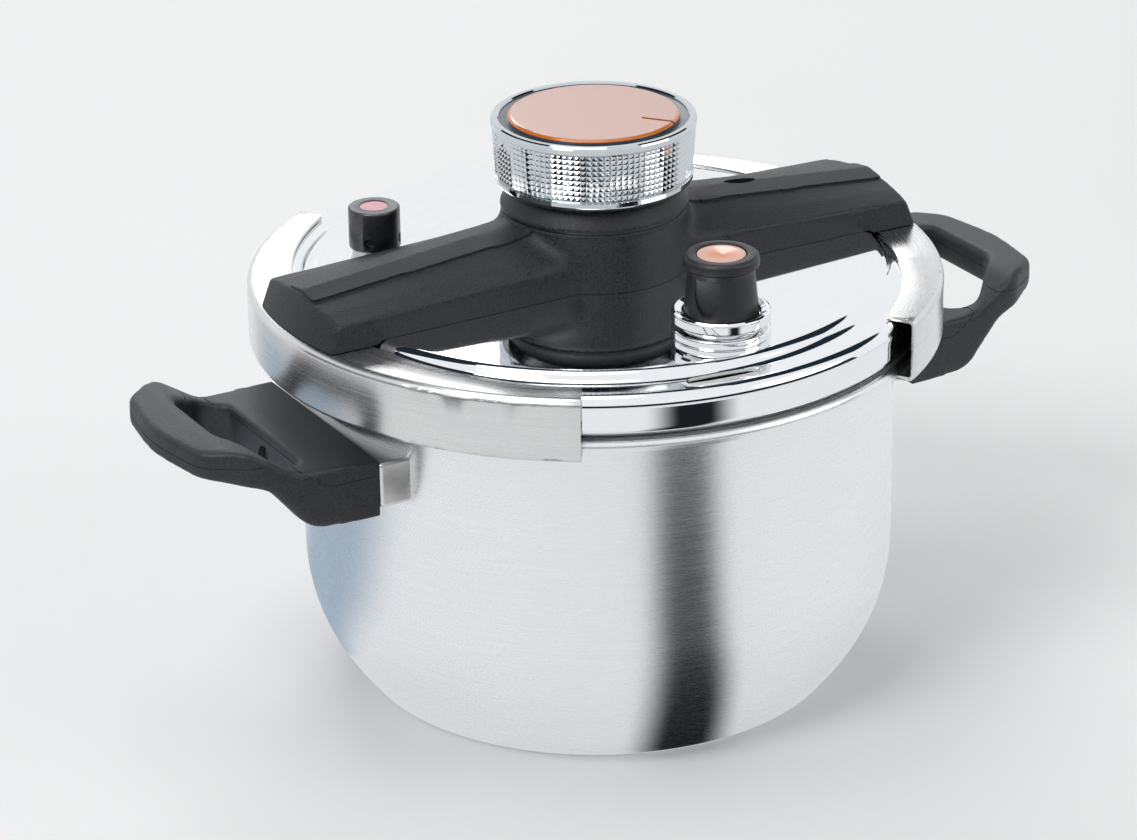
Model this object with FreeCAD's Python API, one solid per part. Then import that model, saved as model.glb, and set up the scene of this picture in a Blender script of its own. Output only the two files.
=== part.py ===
"""Stovetop pressure cooker, 22 cm: pot, clamped lid, cam-driven jaws, knob, valves.

Millimetres. +Z is up, the pot stands on z = 0 and its axis is the Z axis. The black beam
that carries the knob runs along X, with one clamping jaw and one side handle at each end.
Pieces of the -X side are the +X pieces turned half a turn about Z.
"""
import FreeCAD
import Part
import math
import os

V = FreeCAD.Vector
UP = V(0, 0, 1)

# ---- clearances -------------------------------------------------------------------------
run_gap = 0.05          # radial, shaft in a bore
slide_gap = 0.3         # between bodies that slide past each other
seat_gap = 0.02         # radial, pieces of one body that are pushed together
hole_gap = 0.2          # radial, threads in the lid's holes

# ---- pot --------------------------------------------------------------------------------
pot_r = 112.0           # outside of the straight wall
pot_wall = 1.2
belly_r = 74.0          # radius of the rounded lower wall, in section
belly_z = 53.0          # where the belly meets the straight wall
base_h = 3.0            # thickness of the capsule base
cap_sheet = 0.6
flange_z = 141.1        # top face of the flange, which is the pot's height
neck_z = flange_z - 7.6     # where the wall flares out into the flange
lip_z = flange_z - 3.8      # lower edge of the flange's down-turned lip
flange_r = pot_r + 12.3     # outside of that lip

# ---- lid --------------------------------------------------------------------------------
lid_sheet = 1.2
lid_r = flange_r - 0.3      # outside of the rim
curl_r = lid_r - 2.1        # the rim's lower edge turns in to this radius
shoulder_r = lid_r - 13.6   # inside of the flat ring that the jaws press on
plateau_r = lid_r - 16.5
gasket_r = pot_r - 4.8      # inside of the gasket
rim_z = flange_z + 1.5      # lower edge of the rim
shoulder_z = flange_z + 16.6
plateau_z = shoulder_z + 3.3    # flat top
under_lid = plateau_z - lid_sheet
window_len = 28.0       # safety window in the shoulder
window_w = 6.5
window_az = -97.0

# ---- jaws and slide arms ----------------------------------------------------------------
jaw_r = lid_r + 6.0
jaw_sheet = 1.5
jaw_half_angle = 57.5
jaw_travel = 13.0
jaw_top_mid_r = shoulder_r + 0.9    # inner edge of the top flange at the middle of the jaw
jaw_top_off = 17.85     # how far its arc's centre lies past the pot's axis
jaw_lip_mid_r = pot_r + 3.0         # the same for the lower lip
jaw_lip_off = 12.0
tongue_half_w = 12.0
rail_sheet = 1.0
rail_reach = plateau_r - 23.5
pad_h = 1.7             # nylon glide pads under the arms
arm_h = 2.5
arm_half_w = 12.5
arm_out = plateau_r - 3.5
tongue_in = arm_out - 16.0
stud_x = 38.0           # shoulder screw that guides each arm
stud_r = 3.0
rivet_r = 2.2

# ---- cam and spindle --------------------------------------------------------------------
cam_r = 29.3
cam_h = 2.5
cam_turn = math.radians(90.0)
pin_start = 10.5        # cam pin's distance from the axis when the jaws are shut
pin_r = 2.5
post_r = 4.0            # fixed post that everything turns on
post_foot_r = 8.0
spindle_r = 6.5
spindle_flat = 5.0      # half the width across its two flats

# ---- beam cover -------------------------------------------------------------------------
cover_wall = 2.5
cover_end_r = jaw_r - 2.5   # plan radius of the beam's ends, at their foot
cover_end_lean = 3.25   # how far the end face leans in up to the crease
screw_x = 48.0
screw_y = arm_half_w + 6.5
screw_r = 2.0
end_half_w = screw_y + 9.3
hub_half_w = screw_y + 8.0
end_crease_z = plateau_z + 8.3
hub_crease_z = plateau_z + 11.5
end_band_z = plateau_z + 11.8       # edges of the raised band along the top
hub_band_z = plateau_z + 20.2
band_crown = 1.6        # the band's middle stands this much above its edges
end_band_half_w = 9.5
hub_band_half_w = 11.0
hub_r = 35.0
hub_top_z = plateau_z + 23.0
bush_r = 9.0            # outside of the bronze bush in the hub
collar_top_z = hub_top_z + 8.6
collar_top_r = 30.5

# ---- knob -------------------------------------------------------------------------------
knob_z0 = collar_top_z + 0.8
knob_z1 = knob_z0 + 25.4
knob_top_r = 38.2
knob_foot_r = 36.6
knob_bore_r = 35.1
disc_r = 31.8
disc_top_z = knob_z1 + 0.8
spindle_z1 = knob_z0 + 12.4

# ---- valves -----------------------------------------------------------------------------
thread_z0 = plateau_z - 9.0     # lower ends of the threads under the lid
nut_z0 = plateau_z - 7.0
seal_h = 1.2
vent_xy = (2.7, 22.6 - plateau_r)
vent_thread_r = 6.4
vent_ring_r = 17.9
vent_cap_r = 13.8
vent_cap_waist_r = 11.9
vent_core_r = 9.2       # heavy core of the weight
vent_head_h = 4.4
vent_top_z = plateau_z + 30.4
valve_z0 = plateau_z + 5.2      # underside of the valve's ring when it is down
vent_tip_z = plateau_z + 15.0   # where the weight's cone sits on the vent pipe
safety_xy = (36.5 - plateau_r, 41.0)
safety_thread_r = 5.9
safety_neck_r = 7.2
safety_cap_r = 9.65
safety_top_z = plateau_z + 22.7
safety_cap_z0 = safety_top_z - 15.5
safety_seat_z = plateau_z + 2.0     # lower edge of the cone that the poppet closes
float_xy = (64.0, 0.0)
float_thread_r = 4.9
float_r = 2.8
float_lift = 6.0

# ---- handles ----------------------------------------------------------------------------
bracket_x = pot_r + 3.3     # outer face of the steel bracket, where the handle's root sits
bracket_half_w = 44.0
bracket_z0 = flange_z - 37.6
bracket_z1 = bracket_z0 + 17.5
bracket_sheet = 1.2
handle_reach = bracket_x + 70.2
handle_root_half_w = bracket_half_w - 0.5
handle_root_z0 = bracket_z0 - 3.0
handle_root_z1 = bracket_z1 + 1.0
grip_z0 = bracket_z1 + 2.5
grip_z1 = grip_z0 + 11.8
slot_in = bracket_x + 24.7
slot_out = slot_in + 28.0
slot_half_w = 33.0
handle_screw_z = bracket_z0 + 8.5
handle_screw_r = 2.5


# ---- drawing helpers --------------------------------------------------------------------
def corners_to_edges(corners, place):
    """Edges of a closed outline; a corner is (u, v) or (u, v, fillet radius)."""
    count = len(corners)
    starts = []
    ends = []
    mids = []
    for i, corner in enumerate(corners):
        u, v = corner[0], corner[1]
        radius = corner[2] if len(corner) > 2 else 0.0
        pu, pv = corners[i - 1][:2]
        nu, nv = corners[(i + 1) % count][:2]
        len_in = math.hypot(u - pu, v - pv)
        len_out = math.hypot(nu - u, nv - v)
        du, dv = (u - pu) / len_in, (v - pv) / len_in
        eu, ev = (nu - u) / len_out, (nv - v) / len_out
        half = math.acos(max(-1.0, min(1.0, du * eu + dv * ev))) / 2
        if radius <= 0 or half < 1e-4:
            starts.append((u, v))
            ends.append((u, v))
            mids.append(None)
            continue
        cut = radius * math.tan(half)
        bu, bv = eu - du, ev - dv
        size = math.hypot(bu, bv)
        rise = radius / math.cos(half) - radius
        starts.append((u - du * cut, v - dv * cut))
        ends.append((u + eu * cut, v + ev * cut))
        mids.append((u + bu / size * rise, v + bv / size * rise))
    edges = []
    for i in range(count):
        if mids[i]:
            edges.append(Part.Arc(place(starts[i]), place(mids[i]), place(ends[i])).toShape())
        here, there = place(ends[i]), place(starts[(i + 1) % count])
        if here.distanceToPoint(there) > 1e-6:
            edges.append(Part.LineSegment(here, there).toShape())
    return edges


def face_of(corners, place):
    return Part.Face(Part.Wire(corners_to_edges(corners, place)))


def lathe(corners, angle=360.0, start=0.0, at=(0.0, 0.0)):
    """Turn a closed (radius, z) outline about a vertical axis."""
    solid = face_of(corners, lambda p: V(p[0], 0, p[1])).revolve(V(0, 0, 0), UP, angle)
    solid.rotate(V(0, 0, 0), UP, start)
    solid.translate(V(at[0], at[1], 0))
    return solid


def plate(corners, z0, z1):
    """Raise a closed (x, y) outline from z0 to z1."""
    return face_of(corners, lambda p: V(p[0], p[1], z0)).extrude(V(0, 0, z1 - z0))


def side_plate(corners, half_width):
    """Widen a closed (x, z) outline along Y, to both sides."""
    face = face_of(corners, lambda p: V(p[0], -half_width, p[1]))
    return face.extrude(V(0, 2 * half_width, 0))


def sheet_outline(path, thickness):
    """Closed outline of a bent sheet; the sheet lies to the left of the path."""
    offset = []
    last = len(path) - 1
    for i, point in enumerate(path):
        u, v = point[0], point[1]
        normals = []
        for a, b in ((i - 1, i), (i, i + 1)):
            if a < 0 or b > last:
                continue
            du, dv = path[b][0] - path[a][0], path[b][1] - path[a][1]
            size = math.hypot(du, dv)
            normals.append((-dv / size, du / size))
        if len(normals) == 1:
            nu, nv = normals[0]
            offset.append((u + thickness * nu, v + thickness * nv))
            continue
        (au, av), (bu, bv) = normals
        scale = thickness / (1 + au * bu + av * bv)
        turn = au * bv - av * bu
        radius = point[2] if len(point) > 2 else 0.0
        if radius > 0:
            radius = max(0.0, radius - thickness if turn > 0 else radius + thickness)
        offset.append((u + scale * (au + bu), v + scale * (av + bv), radius))
    return list(path) + offset[::-1]


def cylinder(radius, z0, z1, at=(0.0, 0.0)):
    return Part.makeCylinder(radius, z1 - z0, V(at[0], at[1], z0), UP)


def tube(outer, inner, z0, z1, at=(0.0, 0.0)):
    return cylinder(outer, z0, z1, at).cut(cylinder(inner, z0 - 1, z1 + 1, at))


def hexagon(across, z0, z1, at=(0.0, 0.0)):
    size = across / math.sqrt(3)
    points = []
    for i in range(6):
        angle = math.radians(60 * i)
        points.append((at[0] + size * math.cos(angle), at[1] + size * math.sin(angle)))
    return plate(points, z0, z1)


def long_hole(x0, x1, half_width, z0, z1):
    """A slot along X whose round ends reach x0 and x1."""
    bar = Part.makeBox(x1 - x0 - 2 * half_width, 2 * half_width, z1 - z0,
                       V(x0 + half_width, -half_width, z0))
    near = cylinder(half_width, z0, z1, (x0 + half_width, 0))
    far = cylinder(half_width, z0, z1, (x1 - half_width, 0))
    return bar.fuse([near, far])


def half_turn(shape):
    other = shape.copy()
    other.rotate(V(0, 0, 0), UP, 180)
    return other


def both_sides(shape):
    return Part.makeCompound([shape, half_turn(shape)])


def save(node, shape):
    shape.exportStep("parts/" + node + ".step")
    solids = len(shape.Solids)
    print(f"{node}: {solids} solid(s), {shape.Volume / 1000:.2f} cm3, valid {shape.isValid()}")


# ---- pot --------------------------------------------------------------------------------
def belly_radius(z):
    """Outside radius of the belly at a height."""
    return pot_r - belly_r + math.sqrt(belly_r ** 2 - (belly_z - z) ** 2)


def belly_corner():
    """Where the straight wall and the belly's last tangent meet."""
    angle = math.asin((belly_z - base_h) / belly_r)
    return belly_z - belly_r * math.tan(angle / 2)


def make_pot_body():
    foot_r = belly_radius(base_h)
    path = [
        (0, base_h),
        (foot_r, base_h, 1.5),
        (pot_r, belly_corner(), belly_r),
        (pot_r, neck_z, 5.0),
        (pot_r + 4.0, flange_z - pot_wall, 3.0),
        (flange_r, flange_z - pot_wall, 1.0),
    ]
    body = lathe(sheet_outline(path, pot_wall))
    lip_path = [(flange_r, lip_z), (flange_r, flange_z, 2.6), (flange_r - 5.0, flange_z)]
    lip = lathe(sheet_outline(lip_path, pot_wall))
    trim = lathe([(flange_r - 1.2, flange_z - 3), (flange_r + 5, flange_z - 3),
                  (flange_r + 5, flange_z + 3), (flange_r - 1.2, flange_z + 3)])
    return body.cut(trim).fuse(lip).removeSplitter()


def make_base_cap():
    foot_r = belly_radius(base_h)
    path = [(0, 0), (foot_r - 1.6, 0, 2.5), (foot_r - 0.3, base_h)]
    return lathe(sheet_outline(path, cap_sheet)).common(cylinder(pot_r, 0, base_h))


def make_base_core():
    foot_r = belly_radius(base_h)
    edge = foot_r - 0.3 - cap_sheet - 0.35
    return lathe([(0, cap_sheet), (edge - 2.6, cap_sheet), (edge - 0.6, base_h / 2),
                  (edge, base_h), (0, base_h)])


# ---- handles ----------------------------------------------------------------------------
boss_r = 4.5            # boss on the bracket that centres the handle
boss_h = 7.7
handle_head_r = 4.8


def lying_cylinder(radius, x0, x1):
    """Cylinder along X at the height of the handle's screw."""
    return Part.makeCylinder(radius, x1 - x0, V(x0, 0, handle_screw_z), V(1, 0, 0))


def make_bracket():
    rounding = 6.0
    inside_x = pot_r - 22
    outer = plate([(inside_x, -bracket_half_w), (bracket_x, -bracket_half_w, rounding),
                   (bracket_x, bracket_half_w, rounding), (inside_x, bracket_half_w)],
                  bracket_z0, bracket_z1)
    inner_x = bracket_x - bracket_sheet
    inner_w = bracket_half_w - bracket_sheet
    inner = plate([(inside_x - 10, -inner_w), (inner_x, -inner_w, rounding - bracket_sheet),
                   (inner_x, inner_w, rounding - bracket_sheet), (inside_x - 10, inner_w)],
                  bracket_z0 + bracket_sheet, bracket_z1 - bracket_sheet)
    cup = outer.cut(inner).cut(cylinder(pot_r, 0, flange_z))
    boss = lying_cylinder(boss_r, bracket_x, bracket_x + boss_h)
    bore = lying_cylinder(handle_screw_r + run_gap, inner_x - 1, inner_x + 20)
    return cup.fuse(boss).cut(bore)


def mirrored(half):
    """Closed outline from its +Y half, whose last corner may lie on the X axis."""
    corners = list(half)
    for corner in half[::-1]:
        if corner[1] > 0:
            corners.append((corner[0], -corner[1], corner[2]))
    return corners


def make_handle():
    reach, root_w = handle_reach, handle_root_half_w
    z0, z1 = handle_root_z0 - 20, grip_z1 + 15
    half_plan = [(bracket_x, root_w, 2), (reach - 22.5, root_w - 2.5, 8),
                 (reach - 7.5, root_w - 13.5, 14), (reach, 0, 70)]
    plan = plate(mirrored(half_plan), z0, z1)
    side = side_plate([(bracket_x, handle_root_z0, 3), (bracket_x + 16.7, handle_root_z0, 10),
                       (reach - 29.5, grip_z0 - 4, 22), (reach - 11.5, grip_z0, 30),
                       (reach + 1, grip_z0 + 1, 6), (reach + 1, grip_z1 - 1, 6),
                       (reach - 20.5, grip_z1, 16), (reach - 39.5, handle_root_z1 + 1, 16),
                       (bracket_x, handle_root_z1, 3)], root_w + 15)
    half_slot = [(slot_in, slot_half_w - 2, 3), (slot_in + 11, slot_half_w, 6),
                 (slot_out, slot_half_w - 14, 9)]
    slot = plate(mirrored(half_slot), z0, z1)
    rooms = [lying_cylinder(boss_r + 0.2, bracket_x - 0.1, bracket_x + boss_h + 0.2),
             lying_cylinder(handle_screw_r + 0.2, bracket_x, slot_in + 5),
             lying_cylinder(handle_head_r + 0.4, slot_in - 6, slot_in + 2)]
    return plan.common(side).cut(slot).cut(Part.makeCompound(rooms))


def make_handle_screw():
    tip = bracket_x - bracket_sheet + 0.1
    head_at = slot_in - 6
    shank = lying_cylinder(handle_screw_r, tip, head_at)
    screw = shank.fuse(lying_cylinder(handle_head_r, head_at, head_at + 3.0))
    for size in ((1.2, 5.0, 1.1), (1.2, 1.1, 5.0)):
        corner = V(head_at + 2.0, -size[1] / 2, handle_screw_z - size[2] / 2)
        screw = screw.cut(Part.makeBox(size[0], size[1], size[2], corner))
    return screw


# ---- lid --------------------------------------------------------------------------------
screw_spots = [(x, y) for x in (screw_x, -screw_x) for y in (screw_y, -screw_y)]


def through_lid(radius, at):
    return cylinder(radius, plateau_z - 10, plateau_z + 10, at)


def window_cutter():
    """Upright cutter for the oval window, long across the radius."""
    mid_r = shoulder_r + window_w / 2 + 0.6
    hole = long_hole(-window_len / 2, window_len / 2, window_w / 2,
                     shoulder_z - 4, shoulder_z + 4)
    hole.rotate(V(0, 0, 0), UP, 90)
    hole.translate(V(mid_r, 0, 0))
    hole.rotate(V(0, 0, 0), UP, window_az)
    return hole


def make_lid_shell():
    path = [
        (curl_r, rim_z),
        (lid_r, rim_z + 2.4, 3.0),
        (lid_r, shoulder_z, 4.5),
        (shoulder_r, shoulder_z, 2.0),
        (plateau_r, plateau_z, 2.0),
        (0, plateau_z),
    ]
    shell = lathe(sheet_outline(path, lid_sheet))
    holes = [window_cutter()]
    for radius, at in ((vent_thread_r, vent_xy), (safety_thread_r, safety_xy),
                       (float_thread_r, float_xy)):
        holes.append(through_lid(radius + hole_gap, at))
    for spot in screw_spots:
        holes.append(through_lid(screw_r + hole_gap, spot))
    return shell.cut(Part.makeCompound(holes))


def make_gasket():
    top = shoulder_z - lid_sheet - 0.1
    outer = lid_r - lid_sheet - 0.15
    foot = flange_z + slide_gap
    return lathe([(gasket_r + 3, foot), (curl_r - 3.0, foot, 1.0), (curl_r - 2.2, foot + 3.5, 1),
                  (outer, foot + 5.0, 1.5), (outer, top - 2.6, 3), (outer - 3.2, top, 1),
                  (shoulder_r + 1.5, top, 1), (shoulder_r + 1.5, top - 3, 1),
                  (curl_r - 6, top - 4.2, 1), (curl_r - 6, foot + 3.0, 1.5),
                  (gasket_r, foot + 3.2, 0.8)])


rail_top = plateau_z + rail_sheet
pad_top = rail_top + pad_h
arm_z0 = pad_top + 0.1
arm_z1 = arm_z0 + arm_h
cam_z0 = arm_z1 + 0.4
cam_z1 = cam_z0 + cam_h
rail_in = arm_half_w + slide_gap
float_head_r = 6.2      # housing of the float lock, above the lid


def make_guide_rail():
    side_w = rail_in + rail_sheet
    ear_r = 3.4
    corner = V(-rail_reach, -side_w, plateau_z)
    rail = Part.makeBox(2 * rail_reach, 2 * side_w, rail_sheet, corner)
    added = []
    for y in (rail_in, -side_w):
        added.append(Part.makeBox(2 * rail_reach, rail_sheet, arm_z1 - plateau_z - 0.3,
                                  V(-rail_reach, y, plateau_z)))
    holes = [through_lid(post_foot_r + run_gap, (0, 0)), through_lid(float_head_r + 0.1, float_xy),
             through_lid(stud_r + seat_gap, (stud_x, 0)), through_lid(stud_r + seat_gap, (-stud_x, 0))]
    for x, y in screw_spots:
        added.append(cylinder(ear_r, plateau_z, rail_top, (x, y)))
        added.append(Part.makeBox(2 * ear_r, screw_y - rail_in, rail_sheet,
                                  V(x - ear_r, min(y, math.copysign(rail_in, y)), plateau_z)))
        holes.append(through_lid(screw_r + hole_gap, (x, y)))
    return rail.fuse(added).cut(Part.makeCompound(holes)).removeSplitter()


def make_glide_pads():
    pads = []
    groove = long_hole(stud_x - 28, rail_reach + 2, float_head_r + 0.2, rail_top - 1, pad_top + 1)
    for x0, x1 in ((stud_x - 14, stud_x - 5), (float_xy[0] - 12, float_xy[0] - 6),
                   (rail_reach - 10, rail_reach - 2)):
        bar = Part.makeBox(x1 - x0, 2 * arm_half_w, pad_h, V(x0, -arm_half_w, rail_top))
        halves = bar.cut(groove)
        pads += halves.Solids + half_turn(halves).Solids
    return Part.makeCompound(pads)


def make_guide_studs():
    foot = cylinder(stud_r, plateau_z, cam_z0 - 0.1, (stud_x, 0))
    head = cylinder(5.0, cam_z0 - 0.1, cam_z0 + 1.7, (stud_x, 0))
    return both_sides(foot.fuse(head))


# ---- jaws, arms, rivets and cam pins ----------------------------------------------------
jaw_z0 = lip_z - slide_gap - jaw_sheet
jaw_z1 = shoulder_z + slide_gap + jaw_sheet
tongue_z0 = arm_z0 - jaw_sheet


def make_jaw():
    path = [(pot_r - 8, jaw_z0), (jaw_r, jaw_z0, 2.5), (jaw_r, jaw_z1, 3.0),
            (shoulder_r - 10, jaw_z1)]
    jaw = lathe(sheet_outline(path, jaw_sheet), 2 * jaw_half_angle, -jaw_half_angle)
    top_cut = cylinder(jaw_top_mid_r + jaw_top_off, jaw_z1 - 3, jaw_z1 + 3, (-jaw_top_off, 0))
    lip_cut = cylinder(jaw_lip_mid_r + jaw_lip_off, jaw_z0 - 3, jaw_z0 + 3, (-jaw_lip_off, 0))
    jaw = jaw.cut(Part.makeCompound([top_cut, lip_cut]))
    flange_z0 = jaw_z1 - jaw_sheet
    step_out = shoulder_r + 0.9
    tongue_path = [(step_out + 6, flange_z0), (step_out, flange_z0, 1.5),
                   (plateau_r + 0.1, tongue_z0, 3.0), (tongue_in, tongue_z0)]
    outline = sheet_outline(tongue_path, -jaw_sheet)
    return jaw.fuse(side_plate(outline, tongue_half_w)).removeSplitter()


rivet_spots = [(arm_out - inset, y) for inset in (10.0, 3.0) for y in (6.5, -6.5)]


def make_arm(float_slot):
    inner = post_r + 1.2
    arm = Part.makeBox(arm_out - inner, 2 * arm_half_w, arm_h, V(inner, -arm_half_w, arm_z0))
    z0, z1 = arm_z0 - 1, arm_z1 + 1
    half = stud_r + 0.2
    cuts = [cylinder(pin_r + seat_gap, z0, z1, (pin_start, 0)),
            long_hole(stud_x - jaw_travel - half, stud_x + half, half, z0, z1)]
    for spot in rivet_spots:
        cuts.append(cylinder(rivet_r + seat_gap, z0, z1, spot))
    if float_slot:
        half = float_r + 0.6
        x = float_xy[0]
        cuts.append(long_hole(x - jaw_travel - half, x + half, half, z0, z1))
    return arm.cut(Part.makeCompound(cuts))


def make_rivets():
    rivets = []
    for spot in rivet_spots:
        shank = cylinder(rivet_r, tongue_z0, arm_z1, spot)
        rivets.append(shank.fuse(cylinder(rivet_r + 1.0, arm_z1, arm_z1 + 1.4, spot)))
    return Part.makeCompound(rivets)


def cut_rivet_holes(jaw):
    holes = []
    for spot in rivet_spots:
        holes.append(cylinder(rivet_r + seat_gap, tongue_z0 - 1, arm_z0 + 1, spot))
    return jaw.cut(Part.makeCompound(holes))


def make_cam_pin():
    return cylinder(pin_r, arm_z0, cam_z1 - 0.2, (pin_start, 0))


# ---- cam, post, spindle -----------------------------------------------------------------
def spiral_slot():
    """One spiral slot: the pin runs out by the jaw's travel while the cam makes its turn."""
    half = pin_r + 0.12
    sides = ([], [])
    steps = 12
    pitch = jaw_travel / cam_turn
    for i in range(steps + 1):
        turned = cam_turn * i / steps
        radius = pin_start + pitch * turned
        x, y = radius * math.cos(-turned), radius * math.sin(-turned)
        tx = pitch * math.cos(-turned) + radius * math.sin(-turned)
        ty = pitch * math.sin(-turned) - radius * math.cos(-turned)
        size = math.hypot(tx, ty)
        nx, ny = -ty / size * half, tx / size * half
        sides[0].append(V(x + nx, y + ny, cam_z0 - 1))
        sides[1].append(V(x - nx, y - ny, cam_z0 - 1))
    curves = []
    for points in (sides[0], sides[1][::-1]):
        curve = Part.BSplineCurve()
        curve.interpolate(points)
        curves.append(curve.toShape())
    ends = [Part.LineSegment(sides[0][-1], sides[1][-1]).toShape(),
            Part.LineSegment(sides[1][0], sides[0][0]).toShape()]
    wire = Part.Wire([curves[0], ends[0], curves[1], ends[1]])
    slot = Part.Face(wire).extrude(V(0, 0, cam_h + 2))
    last_r = pin_start + jaw_travel
    start = cylinder(half, cam_z0 - 1, cam_z1 + 1, (pin_start, 0))
    stop = cylinder(half, cam_z0 - 1, cam_z1 + 1,
                    (last_r * math.cos(-cam_turn), last_r * math.sin(-cam_turn)))
    return slot.fuse([start, stop])


def flatted_bar(radius, flat, z0, z1):
    """Round bar with two flats that face +X and -X."""
    box = Part.makeBox(2 * flat, 2 * radius + 2, z1 - z0, V(-flat, -radius - 1, z0))
    return cylinder(radius, z0, z1).common(box)


def make_cam_disc():
    slot = spiral_slot()
    drive = flatted_bar(spindle_r + seat_gap, spindle_flat + seat_gap, cam_z0 - 1, cam_z1 + 1)
    disc = cylinder(cam_r, cam_z0, cam_z1)
    return disc.cut(slot).cut(half_turn(slot)).cut(drive)


washer_z0 = spindle_z1 + 0.2
washer_h = 0.8
nut_top_z = washer_z0 + washer_h + 5.0


def make_post():
    foot = cylinder(post_foot_r, plateau_z, rail_top)
    shoulder = cylinder(post_r + 0.8, rail_top, cam_z0 - 0.2)
    return foot.fuse([shoulder, cylinder(post_r, cam_z0 - 0.2, nut_top_z + 0.4)])


def make_spindle():
    bar = flatted_bar(spindle_r, spindle_flat, cam_z0 - 0.1, spindle_z1)
    return bar.cut(cylinder(post_r + run_gap, cam_z0 - 2, spindle_z1 + 1))


# ---- beam cover -------------------------------------------------------------------------
def beam_section(x, inset):
    """Cross-section of the beam at a distance from the axis, drawn in by the wall."""
    share = (cover_end_r - x) / (cover_end_r - hub_r)
    half_w = end_half_w + (hub_half_w - end_half_w) * share - inset
    crease = end_crease_z + (hub_crease_z - end_crease_z) * share - inset * 0.6
    band = end_band_z + (hub_band_z - end_band_z) * share - inset
    band_w = end_band_half_w + (hub_band_half_w - end_band_half_w) * share - inset * 0.3
    foot = plateau_z - 4
    points = [(half_w, foot), (half_w, crease), (band_w, band), (0, band + band_crown),
              (-band_w, band), (-half_w, crease), (-half_w, foot)]
    return Part.makePolygon([V(x, y, z) for y, z in points + points[:1]])


def beam_arm(inset, x0, x1):
    return Part.makeLoft([beam_section(x0, inset), beam_section(x1, inset)], True, True)


def end_trim(inset):
    """Ring that cuts the beam's end to the jaw's curve, leaning in towards the top."""
    foot_r = cover_end_r - inset
    lean_z = end_crease_z - plateau_z
    top_z = hub_band_z + 10
    top_r = foot_r - cover_end_lean * (top_z - plateau_z) / lean_z
    low_r = foot_r + cover_end_lean * 10 / lean_z
    return lathe([(0, plateau_z - 10), (low_r, plateau_z - 10), (top_r, top_z), (0, top_z)])


def under_lid_shape():
    """Everything the cover must stay above: lid, jaw tops and their clearance."""
    over_jaw = jaw_z1 + slide_gap
    over_lid = plateau_z + 0.1
    far_r, low_z = jaw_r + 20, jaw_z0
    return lathe([(0, low_z), (far_r, low_z), (far_r, over_jaw), (plateau_r + 2.0, over_jaw),
                  (plateau_r + 0.4, over_lid), (0, over_lid)])


def beam_body(inset):
    arm = beam_arm(inset, 5.0, cover_end_r + 3)
    hub_top = hub_top_z - inset
    arms = arm.fuse(half_turn(arm))
    arms = arms.cut(cylinder(hub_r, hub_top, hub_band_z + 10))
    hub = cylinder(hub_r - inset, plateau_z - 4, hub_top)
    return arms.fuse(hub).common(end_trim(inset))


bush_z0 = hub_top_z - 11.0
screw_top_z = plateau_z + 8.5


def make_beam_cover():
    shell = beam_body(0).cut(beam_body(cover_wall))
    bosses = []
    holes = []
    for spot in screw_spots:
        bosses.append(cylinder(screw_r + 1.2, rail_top, hub_crease_z - 0.5, spot))
        holes.append(cylinder(screw_r + seat_gap, rail_top - 1, screw_top_z + 0.5, spot))
    bush_seat = tube(bush_r + 3.0, bush_r, bush_z0, hub_top_z - 0.5)
    body = shell.fuse(bosses + [bush_seat])
    holes.append(cylinder(bush_r, bush_z0 - 1, hub_top_z + 5))
    x = float_xy[0]
    holes.append(long_hole(x - 6, x + 6, float_r + 0.4, hub_band_z - 6, hub_top_z + 5))
    return body.cut(Part.makeCompound(holes)).cut(under_lid_shape())


def make_hub_bush():
    return tube(bush_r - seat_gap, spindle_r + run_gap, bush_z0 + 0.2, hub_top_z + 1.5)


def make_hub_collar():
    bore = collar_top_r - 4.5
    return lathe([(bore, hub_top_z), (hub_r, hub_top_z), (hub_r + 0.2, hub_top_z + 1.8),
                  (collar_top_r, collar_top_z), (bore, collar_top_z)])


screw_seal_h = 1.0


def make_cover_screws():
    screws = []
    for x, y in screw_spots:
        seal_z = under_lid - screw_seal_h
        shank = cylinder(screw_r, seal_z, screw_top_z, (x, y))
        head = cylinder(screw_r + 1.8, seal_z - 2.2, seal_z, (x, y))
        slot = Part.makeBox(6, 1.0, 1.0, V(x - 3, y - 0.5, seal_z - 2.2))
        screws.append(shank.fuse(head).cut(slot))
    return Part.makeCompound(screws)


def make_screw_seals():
    seals = []
    for spot in screw_spots:
        seals.append(tube(screw_r + 2.2, screw_r + seat_gap, under_lid - screw_seal_h, under_lid,
                          spot))
    return Part.makeCompound(seals)


# ---- knob -------------------------------------------------------------------------------
def make_knob_ring():
    return lathe([(knob_bore_r, knob_z0 + 0.6), (knob_foot_r - 1.2, knob_z0),
                  (knob_foot_r, knob_z0 + 1.4), (knob_top_r, knob_z1 - 1.2, 0.6),
                  (knob_top_r - 0.9, knob_z1, 0.4), (knob_bore_r + 0.4, knob_z1, 0.4),
                  (knob_bore_r, knob_z1 - 1.4)])


deck_z = disc_top_z - 2.2
opening_r = 12.0        # hole in the deck, under the disc, for the nut
sleeve_r = 11.0         # sleeve of the knob that the spindle drives


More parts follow.
